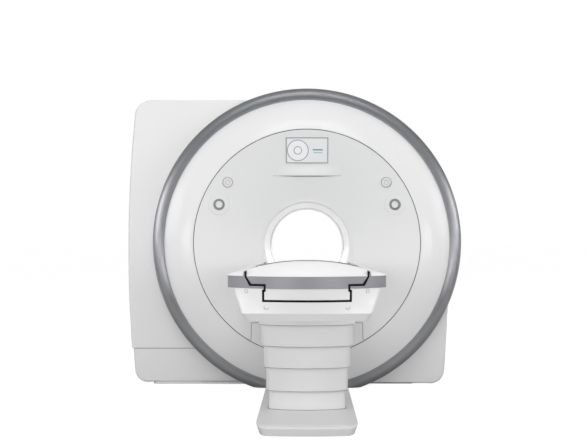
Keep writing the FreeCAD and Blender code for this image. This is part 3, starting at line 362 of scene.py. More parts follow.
def surface(
    name, colour, vary=0.03, patch=1.3, rough=(0.34, 0.46), grain=420.0, relief=0.00006, edge=0.0025,
    stretch=None, **settings,
):
    """A moulded, painted or metal finish: patches of tone, uneven gloss, fine relief, soft edges."""
    material = bpy.data.materials.new(name)
    nodes = empty_nodes(material)
    out = nodes.add("ShaderNodeOutputMaterial")
    shader = nodes.add("ShaderNodeBsdfPrincipled", **settings)
    coords = nodes.add("ShaderNodeTexCoord")

    tone = nodes.add("ShaderNodeMix", data_type="RGBA")
    tone.inputs[MIX_A].default_value = (*[c * (1 - vary) for c in colour], 1)
    tone.inputs[MIX_B].default_value = (*[min(1.0, c * (1 + vary)) for c in colour], 1)
    nodes.link(noise(nodes, coords, patch, 3.0, stretch), "Fac", tone, 0)
    nodes.link(tone, MIX_OUT, shader, "Base Color")

    gloss = nodes.add("ShaderNodeMapRange", To_Min=rough[0], To_Max=rough[1])
    nodes.link(noise(nodes, coords, patch * 4.0, 4.0, stretch), "Fac", gloss, "Value")
    nodes.link(gloss, "Result", shader, "Roughness")

    bump = nodes.add("ShaderNodeBump", Strength=1.0, Distance=relief)
    nodes.link(noise(nodes, coords, grain, 2.0, stretch), "Fac", bump, "Height")
    if edge:
        soft = nodes.add("ShaderNodeBevel", samples=6, Radius=edge)
        nodes.link(soft, "Normal", bump, "Normal")
    nodes.link(bump, "Normal", shader, "Normal")
    nodes.link(shader, "BSDF", out, "Surface")
    return material


def leather(name, colour):
    """Soft vinyl: pebbled grain, a faint sheen and slightly uneven tone."""
    material = surface(name, colour, vary=0.05, patch=5.0, rough=(0.45, 0.6), edge=0.0, Sheen_Weight=0.15)
    nodes = Nodes(material.node_tree)
    relief = nodes.find("BUMP")
    cells = nodes.add("ShaderNodeTexVoronoi", feature="SMOOTH_F1", Scale=650.0)
    pebble = nodes.add("ShaderNodeBump", Strength=0.5, Distance=0.0004)
    nodes.link(nodes.find("TEX_COORD"), "Object", cells, "Vector")
    nodes.link(cells, "Distance", pebble, "Height")
    nodes.link(relief, "Normal", pebble, "Normal")
    nodes.link(pebble, "Normal", nodes.find("BSDF_PRINCIPLED"), "Normal")
    return material


def brushed_ring(name):
    """Silver brushed along the ring, so that its highlights run across it."""
    material = surface(
        name, (0.46, 0.465, 0.485), vary=0.05, rough=(0.38, 0.44), grain=1800.0, relief=0.00003, edge=0.0,
        Metallic=1.0, Anisotropic=0.85, Anisotropic_Rotation=0.25,
    )
    nodes = Nodes(material.node_tree)
    around = nodes.add("ShaderNodeTangent", direction_type="RADIAL", axis="Y")
    nodes.link(around, "Tangent", nodes.find("BSDF_PRINCIPLED"), "Tangent")
    return material


def glow(name, colour, strength):
    """A lit part of the display: even light with a fine dot raster."""
    material = bpy.data.materials.new(name)
    nodes = empty_nodes(material)
    out = nodes.add("ShaderNodeOutputMaterial")
    shader = nodes.add("ShaderNodeBsdfPrincipled", Roughness=0.25, Emission_Strength=strength)
    coords = nodes.add("ShaderNodeTexCoord")
    dots = nodes.add("ShaderNodeTexVoronoi", Scale=900.0, Randomness=0.0)
    raster = nodes.add("ShaderNodeMapRange", To_Min=1.0, To_Max=0.9)
    tint = nodes.add("ShaderNodeMix", data_type="RGBA", blend_type="MULTIPLY")
    tint.inputs[0].default_value = 1.0
    tint.inputs[MIX_A].default_value = (*colour, 1)
    nodes.link(coords, "Object", dots, "Vector")
    nodes.link(dots, "Distance", raster, "Value")
    nodes.link(raster, "Result", tint, MIX_B)
    nodes.link(tint, MIX_OUT, shader, "Base Color")
    nodes.link(tint, MIX_OUT, shader, "Emission Color")
    nodes.link(shader, "BSDF", out, "Surface")
    return material


WHITE = (0.80, 0.80, 0.80)
ALONG_Z, ACROSS_Z = (1, 1, 0.05), (1, 1, 30)  # which way a metal's fine streaks run
FINISHES = {
    "cover_white": dict(colour=WHITE, vary=0.012, Coat_Weight=0.12, Coat_Roughness=0.2),
    "bezel_gloss": dict(
        colour=WHITE, vary=0.012, rough=(0.36, 0.46), edge=0.0, Coat_Weight=0.3, Coat_Roughness=0.1
    ),
    "silver_trim": dict(
        colour=(0.37, 0.37, 0.395), vary=0.04, rough=(0.42, 0.50), grain=1800.0, relief=0.00004,
        edge=0.0015, Metallic=0.75,
    ),
    "frame_grey": dict(colour=(0.34, 0.35, 0.36), vary=0.05),
    "screen_glass": dict(
        colour=(0.85, 0.86, 0.87), vary=0.01, rough=(0.16, 0.22), edge=0.0, Coat_Weight=0.3
    ),
    "ring_dark": dict(colour=(0.26, 0.265, 0.27), vary=0.08, rough=(0.3, 0.45), edge=0.0008),
    "button_white": dict(colour=(0.78, 0.78, 0.775), vary=0.015, edge=0.0008),
    "button_rim": dict(colour=(0.46, 0.465, 0.47), vary=0.04, edge=0.0008),
    "liner_white": dict(colour=(0.84, 0.84, 0.835), vary=0.01, rough=(0.42, 0.52), edge=0.0),
    "rail_grey": dict(colour=(0.42, 0.43, 0.44), vary=0.05, rough=(0.35, 0.5)),
    "vessel_steel": dict(
        colour=(0.52, 0.53, 0.54), vary=0.06, rough=(0.3, 0.5), stretch=ACROSS_Z, Metallic=1.0
    ),
    "coil_resin": dict(colour=(0.46, 0.33, 0.15), vary=0.15, rough=(0.25, 0.5), patch=6.0),
    "cold_head_metal": dict(colour=(0.60, 0.60, 0.59), vary=0.05, Metallic=1.0),
    "frame_steel": dict(colour=(0.30, 0.31, 0.33), vary=0.08, rough=(0.4, 0.6)),
    "seal_black": dict(
        colour=(0.006, 0.006, 0.007), vary=0.2, rough=(0.6, 0.8), grain=900.0, edge=0.001,
        Specular_IOR_Level=0.2,
    ),
    "board_white": dict(colour=(0.74, 0.745, 0.75), vary=0.02, rough=(0.4, 0.55)),
    "channel_grey": dict(colour=(0.50, 0.505, 0.51), vary=0.04, rough=(0.4, 0.55)),
    "column_metal": dict(
        colour=(0.62, 0.63, 0.64), vary=0.05, rough=(0.28, 0.4), stretch=ALONG_Z, Metallic=1.0
    ),
}
materials = {name: surface(name, **finish) for name, finish in FINISHES.items()}
materials["pad_cover"] = leather("pad_cover", (0.16, 0.20, 0.24))
materials["silver_ring"] = brushed_ring("silver_ring")
materials["figure_line"] = glow("figure_line", (0.30, 0.31, 0.33), 0.05)
materials["figure_light"] = glow("figure_light", (0.90, 0.91, 0.92), 0.05)
materials["figure_teal"] = glow("figure_teal", (0.22, 0.62, 0.64), 0.10)

for node in frame["nodes"].values():
    for place in node.material_slots:
        place.material = materials[place.material.name.split(".")[0]]


# ==== mesh helpers ====
def piece(name, shape, slot, body, replaced=(), finish=None, sharp=35.0):
    """Shows a shape as a piece that rides on a body, in its slot's finish or in another one."""
    bmesh.ops.recalc_face_normals(shape, faces=shape.faces)
    mesh = bpy.data.meshes.new(name)
    shape.to_mesh(mesh)
    shape.free()
    mesh.shade_smooth()
    mesh.set_sharp_from_angle(angle=math.radians(sharp))
    mesh.materials.append(materials[finish or slot])
    item = bpy.data.objects.new(name, mesh)
    bpy.context.scene.collection.objects.link(item)
    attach(item, body)
    if replaced:
        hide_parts(*replaced)
    return item


def arc(start, middle, end, count):
    """Points on the circle through three points, both ends included."""
    (ax, ay), (bx, by), (cx, cy) = start, middle, end
    d = 2 * (ax * (by - cy) + bx * (cy - ay) + cx * (ay - by))
    a2, b2, c2 = ax * ax + ay * ay, bx * bx + by * by, cx * cx + cy * cy
    ox = (a2 * (by - cy) + b2 * (cy - ay) + c2 * (ay - by)) / d
    oy = (a2 * (cx - bx) + b2 * (ax - cx) + c2 * (bx - ax)) / d
    radius = math.hypot(ax - ox, ay - oy)
    first, via, last = (math.atan2(y - oy, x - ox) for x, y in (start, middle, end))
    turn = 2 * math.pi
    sweep, part = (last - first) % turn, (via - first) % turn
    if part > sweep:
        sweep -= turn
    angles = [first + sweep * n / count for n in range(count + 1)]
    return [(ox + radius * math.cos(a), oy + radius * math.sin(a)) for a in angles]


def bend(start, corner, end, t):
    """A point on the curve that leaves start and reaches end in the directions of a corner."""
    return start * (1 - t) ** 2 + corner * 2 * t * (1 - t) + end * t * t


def eased(points, steps=5):
    """A closed outline of (a, b, radius): corners with a radius are rounded off."""
    result = []
    for n, (a, b, radius) in enumerate(points):
        here = Vector((a, b))
        if not radius:
            result.append(here)
            continue
        before = Vector(points[n - 1][:2]) - here
        after = Vector(points[(n + 1) % len(points)][:2]) - here
        start = here + before.normalized() * min(radius, before.length * 0.49)
        end = here + after.normalized() * min(radius, after.length * 0.49)
        result += [bend(start, here, end, k / steps) for k in range(steps + 1)]
    return [(p.x, p.y) for p in result]


def strip(inner, outer, start, end):
    """The section of a flat ring: two radii or insets, and where it starts and ends."""
    return [(inner, start), (outer, start), (outer, end), (inner, end)]


def skin(loops, closed=True):
    """Joins rings of as many points each: a tube closed on itself, or one with closed ends."""
    shape = bmesh.new()
    rings = [[shape.verts.new(p) for p in loop] for loop in loops]
    following = rings[1:] + rings[:1] if closed else rings[1:]
    for one, two in zip(rings, following):
        for n in range(len(one)):
            m = (n + 1) % len(one)
            shape.faces.new((one[n], one[m], two[m], two[n]))
    if not closed:
        shape.faces.new(rings[0])
        shape.faces.new(rings[-1][::-1])
    return shape


def slab(top, under):
    """A closed sheet between two grids of as many points each."""
    shape = bmesh.new()
    top = [[shape.verts.new(p) for p in row] for row in top]
    under = [[shape.verts.new(p) for p in row] for row in under]
    last_i, last_j = len(top) - 1, len(top[0]) - 1
    for i in range(last_i):
        for j in range(last_j):
            shape.faces.new((top[i][j], top[i + 1][j], top[i + 1][j + 1], top[i][j + 1]))
            shape.faces.new((under[i][j], under[i][j + 1], under[i + 1][j + 1], under[i + 1][j]))
    for i in range(last_i):
        for j in (0, last_j):
            shape.faces.new((top[i][j], under[i][j], under[i + 1][j], top[i + 1][j]))
    for j in range(last_j):
        for i in (0, last_i):
            shape.faces.new((top[i][j], top[i][j + 1], under[i][j + 1], under[i][j]))
    return shape


def lathe(profile, place, steps=STEPS_SMALL, groove=None):
    """A body of revolution from (radius, along); groove says what a radius loses at an angle."""
    loops = []
    for radius, along in profile:
        loop = []
        for n in range(steps):
            angle = 2 * math.pi * n / steps
            r = radius - groove(radius, angle) if groove else radius
            loop.append(place(r * math.cos(angle), r * math.sin(angle), along))
        loops.append(loop)
    return skin(loops)


def about(axis_z):
    """A map for shapes drawn about the axis that runs along Y at a height."""
    return lambda a, b, along: Vector((a, along, axis_z + b))


def stood_on(point, normal):
    """A map for shapes drawn about their own axis, to stand them on a surface."""
    turn = UP.rotation_difference(normal).to_matrix()
    return lambda a, b, along: point + turn @ Vector((a, b, along))


def ribbon(name, course, width=LINE_WIDTH, lift=LINE_LIFT, slot="ring_dark", body="gantry"):
    """A thin raised line that follows points of (place, normal), width across."""
    rows = []
    for n, (point, normal) in enumerate(course):
        ahead = course[min(n + 1, len(course) - 1)][0] - course[max(n - 1, 0)][0]
        side = ahead.cross(normal).normalized() * width / 2
        top = point + normal * lift
        under = point - normal * lift
        rows.append([under - side, top - side, top + side, under + side])
    piece(name, skin(rows, closed=False), slot, body)


def straight(start, end, steps, normal):
    """A ribbon's course from one point to another."""
    start, end = Vector(start), Vector(end)
    return [(start + (end - start) * n / steps, normal) for n in range(steps + 1)]


def cut_at_floor(shape):
    """Cuts a shape off flat just above the floor and closes the cut."""
    geometry = shape.verts[:] + shape.edges[:] + shape.faces[:]
    cut = bmesh.ops.bisect_plane(
        shape, geom=geometry, plane_co=(0, 0, FLOOR_GAP), plane_no=(0, 0, -1), clear_outer=True
    )
    edges = [e for e in cut["geom_cut"] if isinstance(e, bmesh.types.BMEdge)]
    bmesh.ops.holes_fill(shape, edges=edges, sides=0)
    return shape


# ==== front cover ====
def ring_section():
    inner = BEZEL_R + RING_CLEARANCE
    middle = (BEZEL_R + RING_R) / 2 + RING_CROWN_SHIFT
    front = arc((inner, EDGE_Y), (middle, RING_PLANE - RING_CROWN), (RING_R, RING_PLANE), RING_ARC_STEPS)
    return front + [(RING_R, RING_BACK - EDGE_ROUND), (RING_R - EDGE_ROUND, RING_BACK), (inner, RING_BACK)]


def bezel_section():
    inner, outer = FASCIA_R + SEAM_WIDTH, BEZEL_R
    back = EDGE_Y + COVER_WALL
    middle = ((inner + outer) / 2, (SEAM_Y + EDGE_Y) / 2 - BEZEL_CROWN)
    front = arc((inner + EDGE_ROUND, SEAM_Y), middle, (outer, EDGE_Y), BEZEL_ARC_STEPS)
    return [(inner, SEAM_Y + EDGE_ROUND)] + front + [(outer, back), (inner, back)]


def front_cover():
    """The silver ring, the glossy bezel in it and the dark seam round the fascia."""
    centre = about(RING_Z)
    ring = cut_at_floor(lathe(ring_section(), centre, STEPS_RING))
    piece("silver_ring", ring, "silver_trim", "gantry", ["ring_trim"], finish="silver_ring")
    bezel = cut_at_floor(lathe(bezel_section(), centre, STEPS_RING))
    piece("outer_bezel", bezel, "cover_white", "gantry", ["front_bezel"], finish="bezel_gloss")
    seam = strip(FASCIA_R, FASCIA_R + SEAM_WIDTH, SEAM_Y + SEAM_DEPTHS[0], SEAM_Y + SEAM_DEPTHS[1])
    piece("fascia_seam", lathe(seam, centre, STEPS_RING), "seal_black", "gantry")


# ==== bore ====
def mouth_section():
    lip_y = MOUTH_Y - LIP_PROUD
    outer = BORE_R + TUBE_WALL
    knee = MOUTH_Y + MOUTH_DEPTH
    lip = arc((BORE_R, knee), (outer, lip_y + LIP_BEND), (MOUTH_R, lip_y), LIP_ARC_STEPS)
    return lip + [(MOUTH_R, MOUTH_Y), (outer, knee), (outer, mouth_high.y), (BORE_R, mouth_high.y)]


def outlet_section():
    end, outer = outlet_high.y, BORE_R + TUBE_WALL
    knee = end - FUNNEL_FLARE
    middle = (BORE_R + FLARE_BEND[0], end - FLARE_BEND[1] * FUNNEL_FLARE)
    flare = arc((BORE_R, knee), middle, (REAR_MOUTH_R, end), FLARE_ARC_STEPS)
    joint = [(outer, outlet_low.y), (BORE_R, outlet_low.y)]
    return flare + [(REAR_MOUTH_R + COVER_WALL, end), (outer, knee)] + joint


def bore():
    """The bore's two funnels and the grey line where the rear one meets the liner."""
    centre = about(BORE_Z)
    mouth = lathe(mouth_section(), centre, STEPS_BORE)
    piece("bore_mouth", mouth, "liner_white", "gantry", ["front_funnel"])
    outlet = lathe(outlet_section(), centre, STEPS_BORE)
    piece("bore_outlet", outlet, "liner_white", "gantry", ["rear_funnel"])
    shown, sunk, width = BORE_LINE
    line = strip(BORE_R - shown, BORE_R + sunk, outlet_low.y - width / 2, outlet_low.y + width / 2)
    piece("bore_joint_rear", lathe(line, centre, STEPS_BORE), "frame_grey", "gantry")


front_cover()
bore()


# ==== controls ====
def dish(x, z):
    """The point of the fascia's dish at x and z, and its normal."""
    radius = math.hypot(x, z - RING_Z)
    point = Vector((x, SEAM_Y + (FASCIA_R - radius) * DISH_SLOPE, z))
    out = Vector((-x / radius * DISH_SLOPE, -1.0, (RING_Z - z) / radius * DISH_SLOPE))
    return point, out.normalized()


def grip_flutes(radius, angle):
    """What the knob's flutes take from a radius at an angle."""
    return FLUTE_DEPTH * max(0.0, math.cos(FLUTES * angle)) if radius > FLUTED_R else 0.0


def cup(core, outer, hole, levels, soft_outside, soft_inside):
    """The section of a round cup: levels are its back, its floor and its top."""
    back, floor_at, top = levels
    return eased(
        [(core, back, 0), (outer, back, 0), (outer, top, soft_outside), (hole, top, soft_inside),
         (hole, floor_at, 0), (core, floor_at, 0)]
    )


def dial(side, word):
    """A turning knob with grip flutes and a dished top, in its dark ring and its pod."""
    place = stood_on(*dish(side * KNOB_PLACE[0], KNOB_PLACE[1]))
    hole = KNOB_R + KNOB_FIT
    pod = cup(POD_HOLE_R, POD_R, DIAL_RING_R + FIT, POD_LEVELS, 0.0018, 0.001)
    ring = eased(
        [(hole, DIAL_FLOOR, 0), (DIAL_RING_R, DIAL_FLOOR, 0), (DIAL_RING_R, DIAL_TOP, 0.002),
         (hole, DIAL_TOP, 0.002)]
    )
    grip = [(AXIS_R, KNOB_FLOOR, 0), (KNOB_R, KNOB_FLOOR, 0), (KNOB_R - KNOB_TAPER, KNOB_TOP, 0.003)]
    piece(f"pod_{word}", lathe(pod, place), "cover_white", "gantry", ["control_pods"])
    piece(f"dial_{word}_ring", lathe(ring, place), "ring_dark", "gantry", ["dial_rings"])
    shape = lathe(eased(grip + KNOB_DISH), place, 4 * STEPS_SMALL, grip_flutes)
    piece(f"knob_{word}", shape, "button_white", f"dial_{word}", [f"dial_knob_{word}"])


def stop(side, word):
    """A stop button with a grey inlay, in its cup."""
    place = stood_on(*dish(side * STOP_PLACE[0], STOP_PLACE[1]))
    ring = cup(STOP_CORE_R, STOP_RING_R, STOP_CAP_R + FIT, STOP_LEVELS, STOP_RING_ROUND, STOP_RING_ROUND)
    wall = [(AXIS_R, STOP_CAP_FLOOR, 0), (STOP_CAP_R, STOP_CAP_FLOOR, 0), (STOP_CAP_R, STOP_CAP_TOP, 0.003)]
    piece(f"stop_{word}_ring", lathe(ring, place), "button_rim", "gantry", ["stop_rings"])
    shape = lathe(eased(wall + STOP_CAP_DISH), place)
    piece(f"stop_{word}_cap", shape, "button_white", f"stop_{word}", [f"stop_button_{word}"])
    piece(f"stop_{word}_inlay", lathe(STOP_INLAY, place), "button_rim", f"stop_{word}")


for side, word in ((-1, "left"), (1, "right")):
    dial(side, word)
    stop(side, word)


# ==== display ====
screen_point, screen_out = dish(0, DISPLAY_Z)
screen_up = Vector((0, screen_out.z, -screen_out.y))


def on_screen(across, up, lift):
    return screen_point + Vector((across, 0, 0)) + screen_up * up + screen_out * (SCREEN_LIFT + lift)


def screen_ring(name, inner, outer, finish, lift=0.0):
    """A flat ring of the display's figure."""

    def place(a, b, along):
        return on_screen(FIGURE_X + a, b, along)

    shape = lathe(strip(inner, outer, lift, lift + FIGURE_THICK), place)
    piece(name, shape, "screen_glass", "gantry", finish=finish)


def screen_bar(name, across, up, width, height, finish):
    """A small bar with rounded ends on the display."""
    a, b = width / 2, height / 2
    r = min(b, BAR_ROUND)
    outline = eased([(-a, -b, r), (a, -b, r), (a, b, r), (-a, b, r)])
    loops = [[on_screen(across + x, up + y, lift) for x, y in outline] for lift in (FIGURE_THICK, 0.0)]
    piece(name, skin(loops, closed=False), "screen_glass", "gantry", finish=finish)


screen_ring("figure_disc", AXIS_R, FIGURE_R, "figure_light")
screen_ring("figure_outline", FIGURE_R - FIGURE_LINE, FIGURE_R, "figure_line", FIGURE_THICK / 2)
screen_ring("figure_eye", FIGURE_EYE_R - FIGURE_LINE, FIGURE_EYE_R, "figure_line", FIGURE_THICK / 2)
for bar_facts in BARS:
    screen_bar(*bar_facts)


# ==== small trim on the covers ====
def in_front_of(node, x, z):
    """The point of a node's surface that faces the room at x and z, and its normal."""
    hit, point, normal, _ = frame["nodes"][node].ray_cast(Vector((x, CAMERA_PLACE.y, z)), BACK)
    if not hit:
        raise ValueError(f"{node} has nothing at {x}, {z}")
    return point, normal


def pixel_ray(px, py, y):
    """X and Z of the point at depth y that the photograph shows at a pixel."""
    away = (y - CAMERA_PLACE.y) / FOCAL_PX
    return (px - VANISH_X) * away, CAMERA_PLACE.z - (py - VANISH_Y) * away


def screw_cap(name, place, radius, body):
    """A plug over a screw in a cover, with the dark gap around it."""
    cap_r = radius - SCREW_FIT
    cap = eased(
        [(SCREW_TIP_R, -SCREW_DEPTH, 0), (cap_r, -SCREW_DEPTH, 0), (cap_r, SCREW_EDGE, 0.001),
         (SCREW_TIP_R, SCREW_TOP, 0)]
    )
    rim = strip(radius, radius + SCREW_GAP, -SCREW_DEPTH, LINE_LIFT)
    piece(f"{name}_rim", lathe(rim, place), "ring_dark", body)
    piece(name, lathe(cap, place), "button_white", body)


def screw_caps():
    """Plugs in pairs on the table's lower cover, and single ones on the rear cover."""
    table_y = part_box("table_base_cover")[0].y + TABLE_SCREW_DEPTH
    for name, (px, py), radius in TABLE_SCREWS:
        x, z = pixel_ray(px, py, table_y)
        for side, word in ((1, "left"), (-1, "right")):
            place = stood_on(*in_front_of("table_base_cover", side * x, z))
            screw_cap(f"{name}_{word}", place, radius, "table")
    for n, (x, z) in enumerate(REAR_SCREWS):
        place = stood_on(Vector((x, rear_high.y - REAR_SCREW_SINK, z)), BACK)
        screw_cap(f"screw_cap_rear_{n}", place, REAR_SCREW_R, "gantry")


def panel_joint(side, word):
    """The dark joint beside the lower access panel."""
    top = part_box("lower_panel")[1].z + LINE_SHIFT
    knee, foot_x = PANEL_KNEE_Z, PANEL_HALF + PANEL_FLARE
    corners = [(0.0, top), (PANEL_HALF, top), (PANEL_HALF, knee), (foot_x, knee - PANEL_FLARE)]
    steps = 12
    for n, ((x0, z0), (x1, z1)) in enumerate(zip(corners, corners[1:])):
        shares = [k / steps for k in range(steps + 1)]
        course = [dish(side * (x0 + (x1 - x0) * t), z0 + (z1 - z0) * t) for t in shares]
        ribbon(f"panel_joint_{word}_{n}", course)


def brow():
    """A soft swelling under the display that ends below in a sharp overhanging edge."""
    across, up = 96, 20
    top, under = [], []
    for i in range(across + 1):
        x = BROW_HALF * (2 * i / across - 1)
        fade = (1 - (x / BROW_HALF) ** 2) ** 2
        row = []
        for j in range(up + 1):
            t = j / up
            proud = BROW_PROUD * fade * (1 - t) ** 2 * (1 + 2 * t)
            row.append(dish(x, BROW_Z + BROW_RISE * t)[0] + FRONT * (proud + BROW_LIFT))
        top.append(row)
        edge = dish(x, BROW_Z)[0] + Vector((0, BROW_LIP, BROW_LIP))
        under.append([edge] + [point + BACK * BROW_WALL for point in row[1:]])
    piece("display_brow", slab(top, under), "cover_white", "gantry")


def brow_shade_strip():
    """A dark strip under the brow, widest in the middle: painted shade where the brow's shadow falls."""
    steps = 64
    rings = []
    for n in range(steps + 1):
        x = BROW_SHADE_HALF * (2 * n / steps - 1)
        low = BROW_Z - BROW_SHADE * max(BROW_SHADE_END, 1 - (x / BROW_SHADE_HALF) ** 2)
        y = dish(x, BROW_Z)[0].y
        section = strip(y - BROW_SHADE_PROUD, y + BROW_WALL, low, BROW_Z + BROW_SHADE_TOP)
        rings.append([Vector((x, a, b)) for a, b in section])
    piece("brow_shade_strip", skin(rings, closed=False), "ring_dark", "gantry")


def kick_joint():
    """The dark joint between the left cover and the kick panel, in front."""
    y, z = kick_low.y - LINE_SHIFT, left_low.z - KICK_LINE_DROP
    course = straight((kick_high.x, y, z), (kick_low.x + KICK_LINE_END, y, z), 20, FRONT)
    ribbon("kick_joint_front", course, KICK_LINE_WIDTH, KICK_LINE_LIFT)


def cabinet_skirt():
    """The strip that closes the gap between the kick panel and the floor."""
    front = kick_low.y + SKIRT_BACK
    corner = eased([(SKIRT_X, kick_high.y, 0), (SKIRT_X, front, SKIRT_CORNER), (kick_high.x, front, 0)], 8)
    low, high = SKIRT_Z
    course = [(Vector((x, y, (low + high) / 2)), UP) for x, y in corner]
    ribbon("cabinet_skirt", course, SKIRT_WIDTH, (high - low) / 2, "cover_white")


def cabinet_joints():
    """The joint between the side covers and the rear cover, and the one between the side covers."""
    centre = Vector((0, rear_low.y + COVER_WALL, BORE_Z))
    course = []
    steps, outside = 150, 3.0
    for n in range(steps + 1):
        angle = math.radians(REAR_LINE_START + REAR_LINE_SWEEP * n / steps)
        out = Vector((math.cos(angle), 0, math.sin(angle)))
        hit, point, normal, _ = frame["nodes"]["rear_cover"].ray_cast(centre + out * outside, -out)
        if hit and point.z > REAR_LINE_LOW:
            course.append((Vector((point.x, rear_low.y - REAR_LINE_SINK, point.z)), normal))
    ribbon("rear_joint", course)
    split = (left_high.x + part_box("right_cover")[0].x) / 2
    start = (split, left_low.y + TOP_LINE_START, rear_high.z)
    ribbon("top_joint", straight(start, (split, rear_low.y, rear_high.z), 8, UP))


def outlet_trim():
    """The grey edge strip round the bore's rear mouth."""
    start, end, depth = OUTLET_STRIP
    outline = strip(outlet_high.x + start, outlet_high.x + end, rear_high.y - depth, rear_high.y + LINE_LIFT)
    piece("outlet_trim", lathe(outline, about(BORE_Z), STEPS_BORE), "frame_grey", "gantry")


screw_caps()
panel_joint(-1, "left")
panel_joint(1, "right")
brow()
brow_shade_strip()
kick_joint()
cabinet_skirt()
cabinet_joints()
outlet_trim()


# ==== pedestal ====
def whole_plan(right, back):
    """A closed plan from its right half, which runs from the front's middle to the back."""
    return right + [(0.0, back)] + [(-x, y) for x, y in right[:0:-1]]


def sleeve_plan(half, corner, front, back):
    """A sleeve's plan: straight sides and back, a bowed front and rounded corners."""
    nose_r = half + SLEEVE_NOSE
    centre_y = front + nose_r
    corner_x = half - corner
    corner_y = centre_y - math.sqrt((nose_r - corner) ** 2 - corner_x**2)
    slope = math.atan2(corner_x, centre_y - corner_y)
    points = []
    for n in range(BOW_STEPS + 1):
        a = slope * n / BOW_STEPS
        points.append((nose_r * math.sin(a), centre_y - nose_r * math.cos(a)))
    for n in range(1, TURN_STEPS + 1):
        a = slope + (math.pi / 2 - slope) * n / TURN_STEPS
        points.append((corner_x + corner * math.sin(a), corner_y - corner * math.cos(a)))
    side_end = back - REAR_CORNER
    for n in range(1, SIDE_STEPS + 1):
        points.append((half, corner_y + (side_end - corner_y) * n / SIDE_STEPS))
    for n in range(1, REAR_STEPS + 1):
        a = math.pi / 2 * n / REAR_STEPS
        points.append((half - REAR_CORNER * (1 - math.cos(a)), side_end + REAR_CORNER * math.sin(a)))
    points.append((half / 2, back))
    return whole_plan(points, back)


def sleeve_ring(node, larger, inset, z):
    """A sleeve's plan at a height, moved inwards, as points in space."""
    low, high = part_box(node)
    plan = sleeve_plan(high.x - inset, SLEEVE_CORNER + larger - inset, low.y + inset, high.y - inset)
    return [Vector((x, y, z)) for x, y in plan]


def round_sleeve(node, larger, section):
    """A closed band along a sleeve's plan from a section of (inset, z)."""
    return skin([sleeve_ring(node, larger, inset, z) for inset, z in section])


def sleeve(name, node, body, larger):
    """A sleeve: a thin wall with a rounded lip that turns in at its foot, and a dark wiper strip under it
    that is a seal and also painted shade under the lip.
    """
    low, high = (corner.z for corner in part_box(node))
    lip = SLEEVE_WALL + LIP_REACH
    section = eased(
        [(0.0, high, 0.001), (0.0, low, LIP_ROUND), (lip, low, 0.001), (lip, low + LIP_HEIGHT, 0),
         (SLEEVE_WALL, low + LIP_HEIGHT, 0), (SLEEVE_WALL, high, 0)], 4
    )
    piece(name, round_sleeve(node, larger, section), "cover_white", body, [node])
    # The dark wiper strip is a seal and also painted shade under the lip.
    wiper_and_shade = strip(*WIPER_SHADE_INSETS, low - WIPER_SHADE_HANG, low + WIPER_SHADE_SINK)
    piece(f"{name}_wiper", round_sleeve(node, larger, wiper_and_shade), "ring_dark", body)


def fixed_sleeve():
    """The lowest sleeve, which stands in the plinth and has no lip."""
    low, high = (corner.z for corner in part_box("shroud_4"))
    shape = round_sleeve("shroud_4", 0.0, strip(0.0, SLEEVE_WALL, low, high))
    piece("sleeve_4", shape, "cover_white", "gantry", ["shroud_4"])


def foot_plan(half, front, back, inset):
    """The plinth's plan, with as many points as a sleeve's: its sides spread behind the corners."""
    shares = [n / BOW_STEPS for n in range(BOW_STEPS + 1)]
    points = [(FOOT_FRONT_HALF * t, front + FOOT_BOW * t**2) for t in shares]
    corner_x = FOOT_CORNER_X - inset
    start, corner = Vector(points[-1]), Vector((corner_x, front + FOOT_BOW + FOOT_CORNER_DROP))
    end = Vector((corner_x + FOOT_CORNER_SPREAD, front + FOOT_CORNER_BACK))
    for n in range(1, TURN_STEPS + 1):
        points.append(tuple(bend(start, corner, end, n / TURN_STEPS)))
    full = front + FOOT_TAPER
    for t in (0.33, 0.67, 1.0):
        points.append((end.x + (half - end.x) * (2 * t - t * t), end.y + (full - end.y) * t))
    points += [(half, full + (back - full) * t) for t in (0.33, 0.67, 0.99)]
    cut = REAR_CORNER / REAR_STEPS
    points += [(half - cut * n, back - REAR_CORNER + cut * n) for n in range(1, REAR_STEPS + 1)]
    points.append((half / 2, back))
    return whole_plan(points, back)


def foot():
    """The plinth: a sloping top with a soft edge all round, a well for the pedestal, and a dark gasket in it
    that also paints the gap's shade.
    """
    low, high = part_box("foot_cover")

    def ring_at(inset, z):
        half, back = high.x - FOOT_NARROW - inset, high.y - FOOT_BACK_SHARE * inset
        return [Vector((x, y, z)) for x, y in foot_plan(half, low.y + inset, back, inset)]

    def well_at(grow, up):
        return sleeve_ring("shroud_4", 0.0, -grow, high.z + up)

    base, top = low.z + FOOT_LIFT, high.z
    outside = eased(
        [(FOOT_TOE, base, 0), (0.0, FOOT_RIM_Z, FOOT_RIM_ROUND), (FOOT_SLOPE, top, FOOT_SLOPE_ROUND),
         (FOOT_FLAT, top, 0)], 6
    )
    loops = [ring_at(inset, z) for inset, z in outside] + [well_at(grow, up) for grow, up in WELL]
    loops += [ring_at(FOOT_HOLLOW, top - FOOT_HOLLOW_DEPTH), ring_at(FOOT_HOLLOW_TOE, base)]
    piece("foot_plinth", skin(loops), "cover_white", "gantry", ["foot_cover"])
    # The dark gasket also stands in for the shade in the gap round the pedestal.
    gasket_shade = skin([well_at(grow, up) for grow, up in strip(*GASKET_SHADE)])
    piece("foot_gasket_shade", gasket_shade, "ring_dark", "gantry")


for n, (name, node, body) in enumerate(SLEEVES):
    sleeve(name, node, body, SLEEVE_STEP * (len(SLEEVES) - n))
fixed_sleeve()
foot()


# ==== nose of the table ====
def nose_arc(x, back=0.0):
    """Y at x of the nose's round front, or of the arc that lies further back."""
    return NOSE_CENTRE_Y - math.sqrt((NOSE_R - back) ** 2 - x * x)


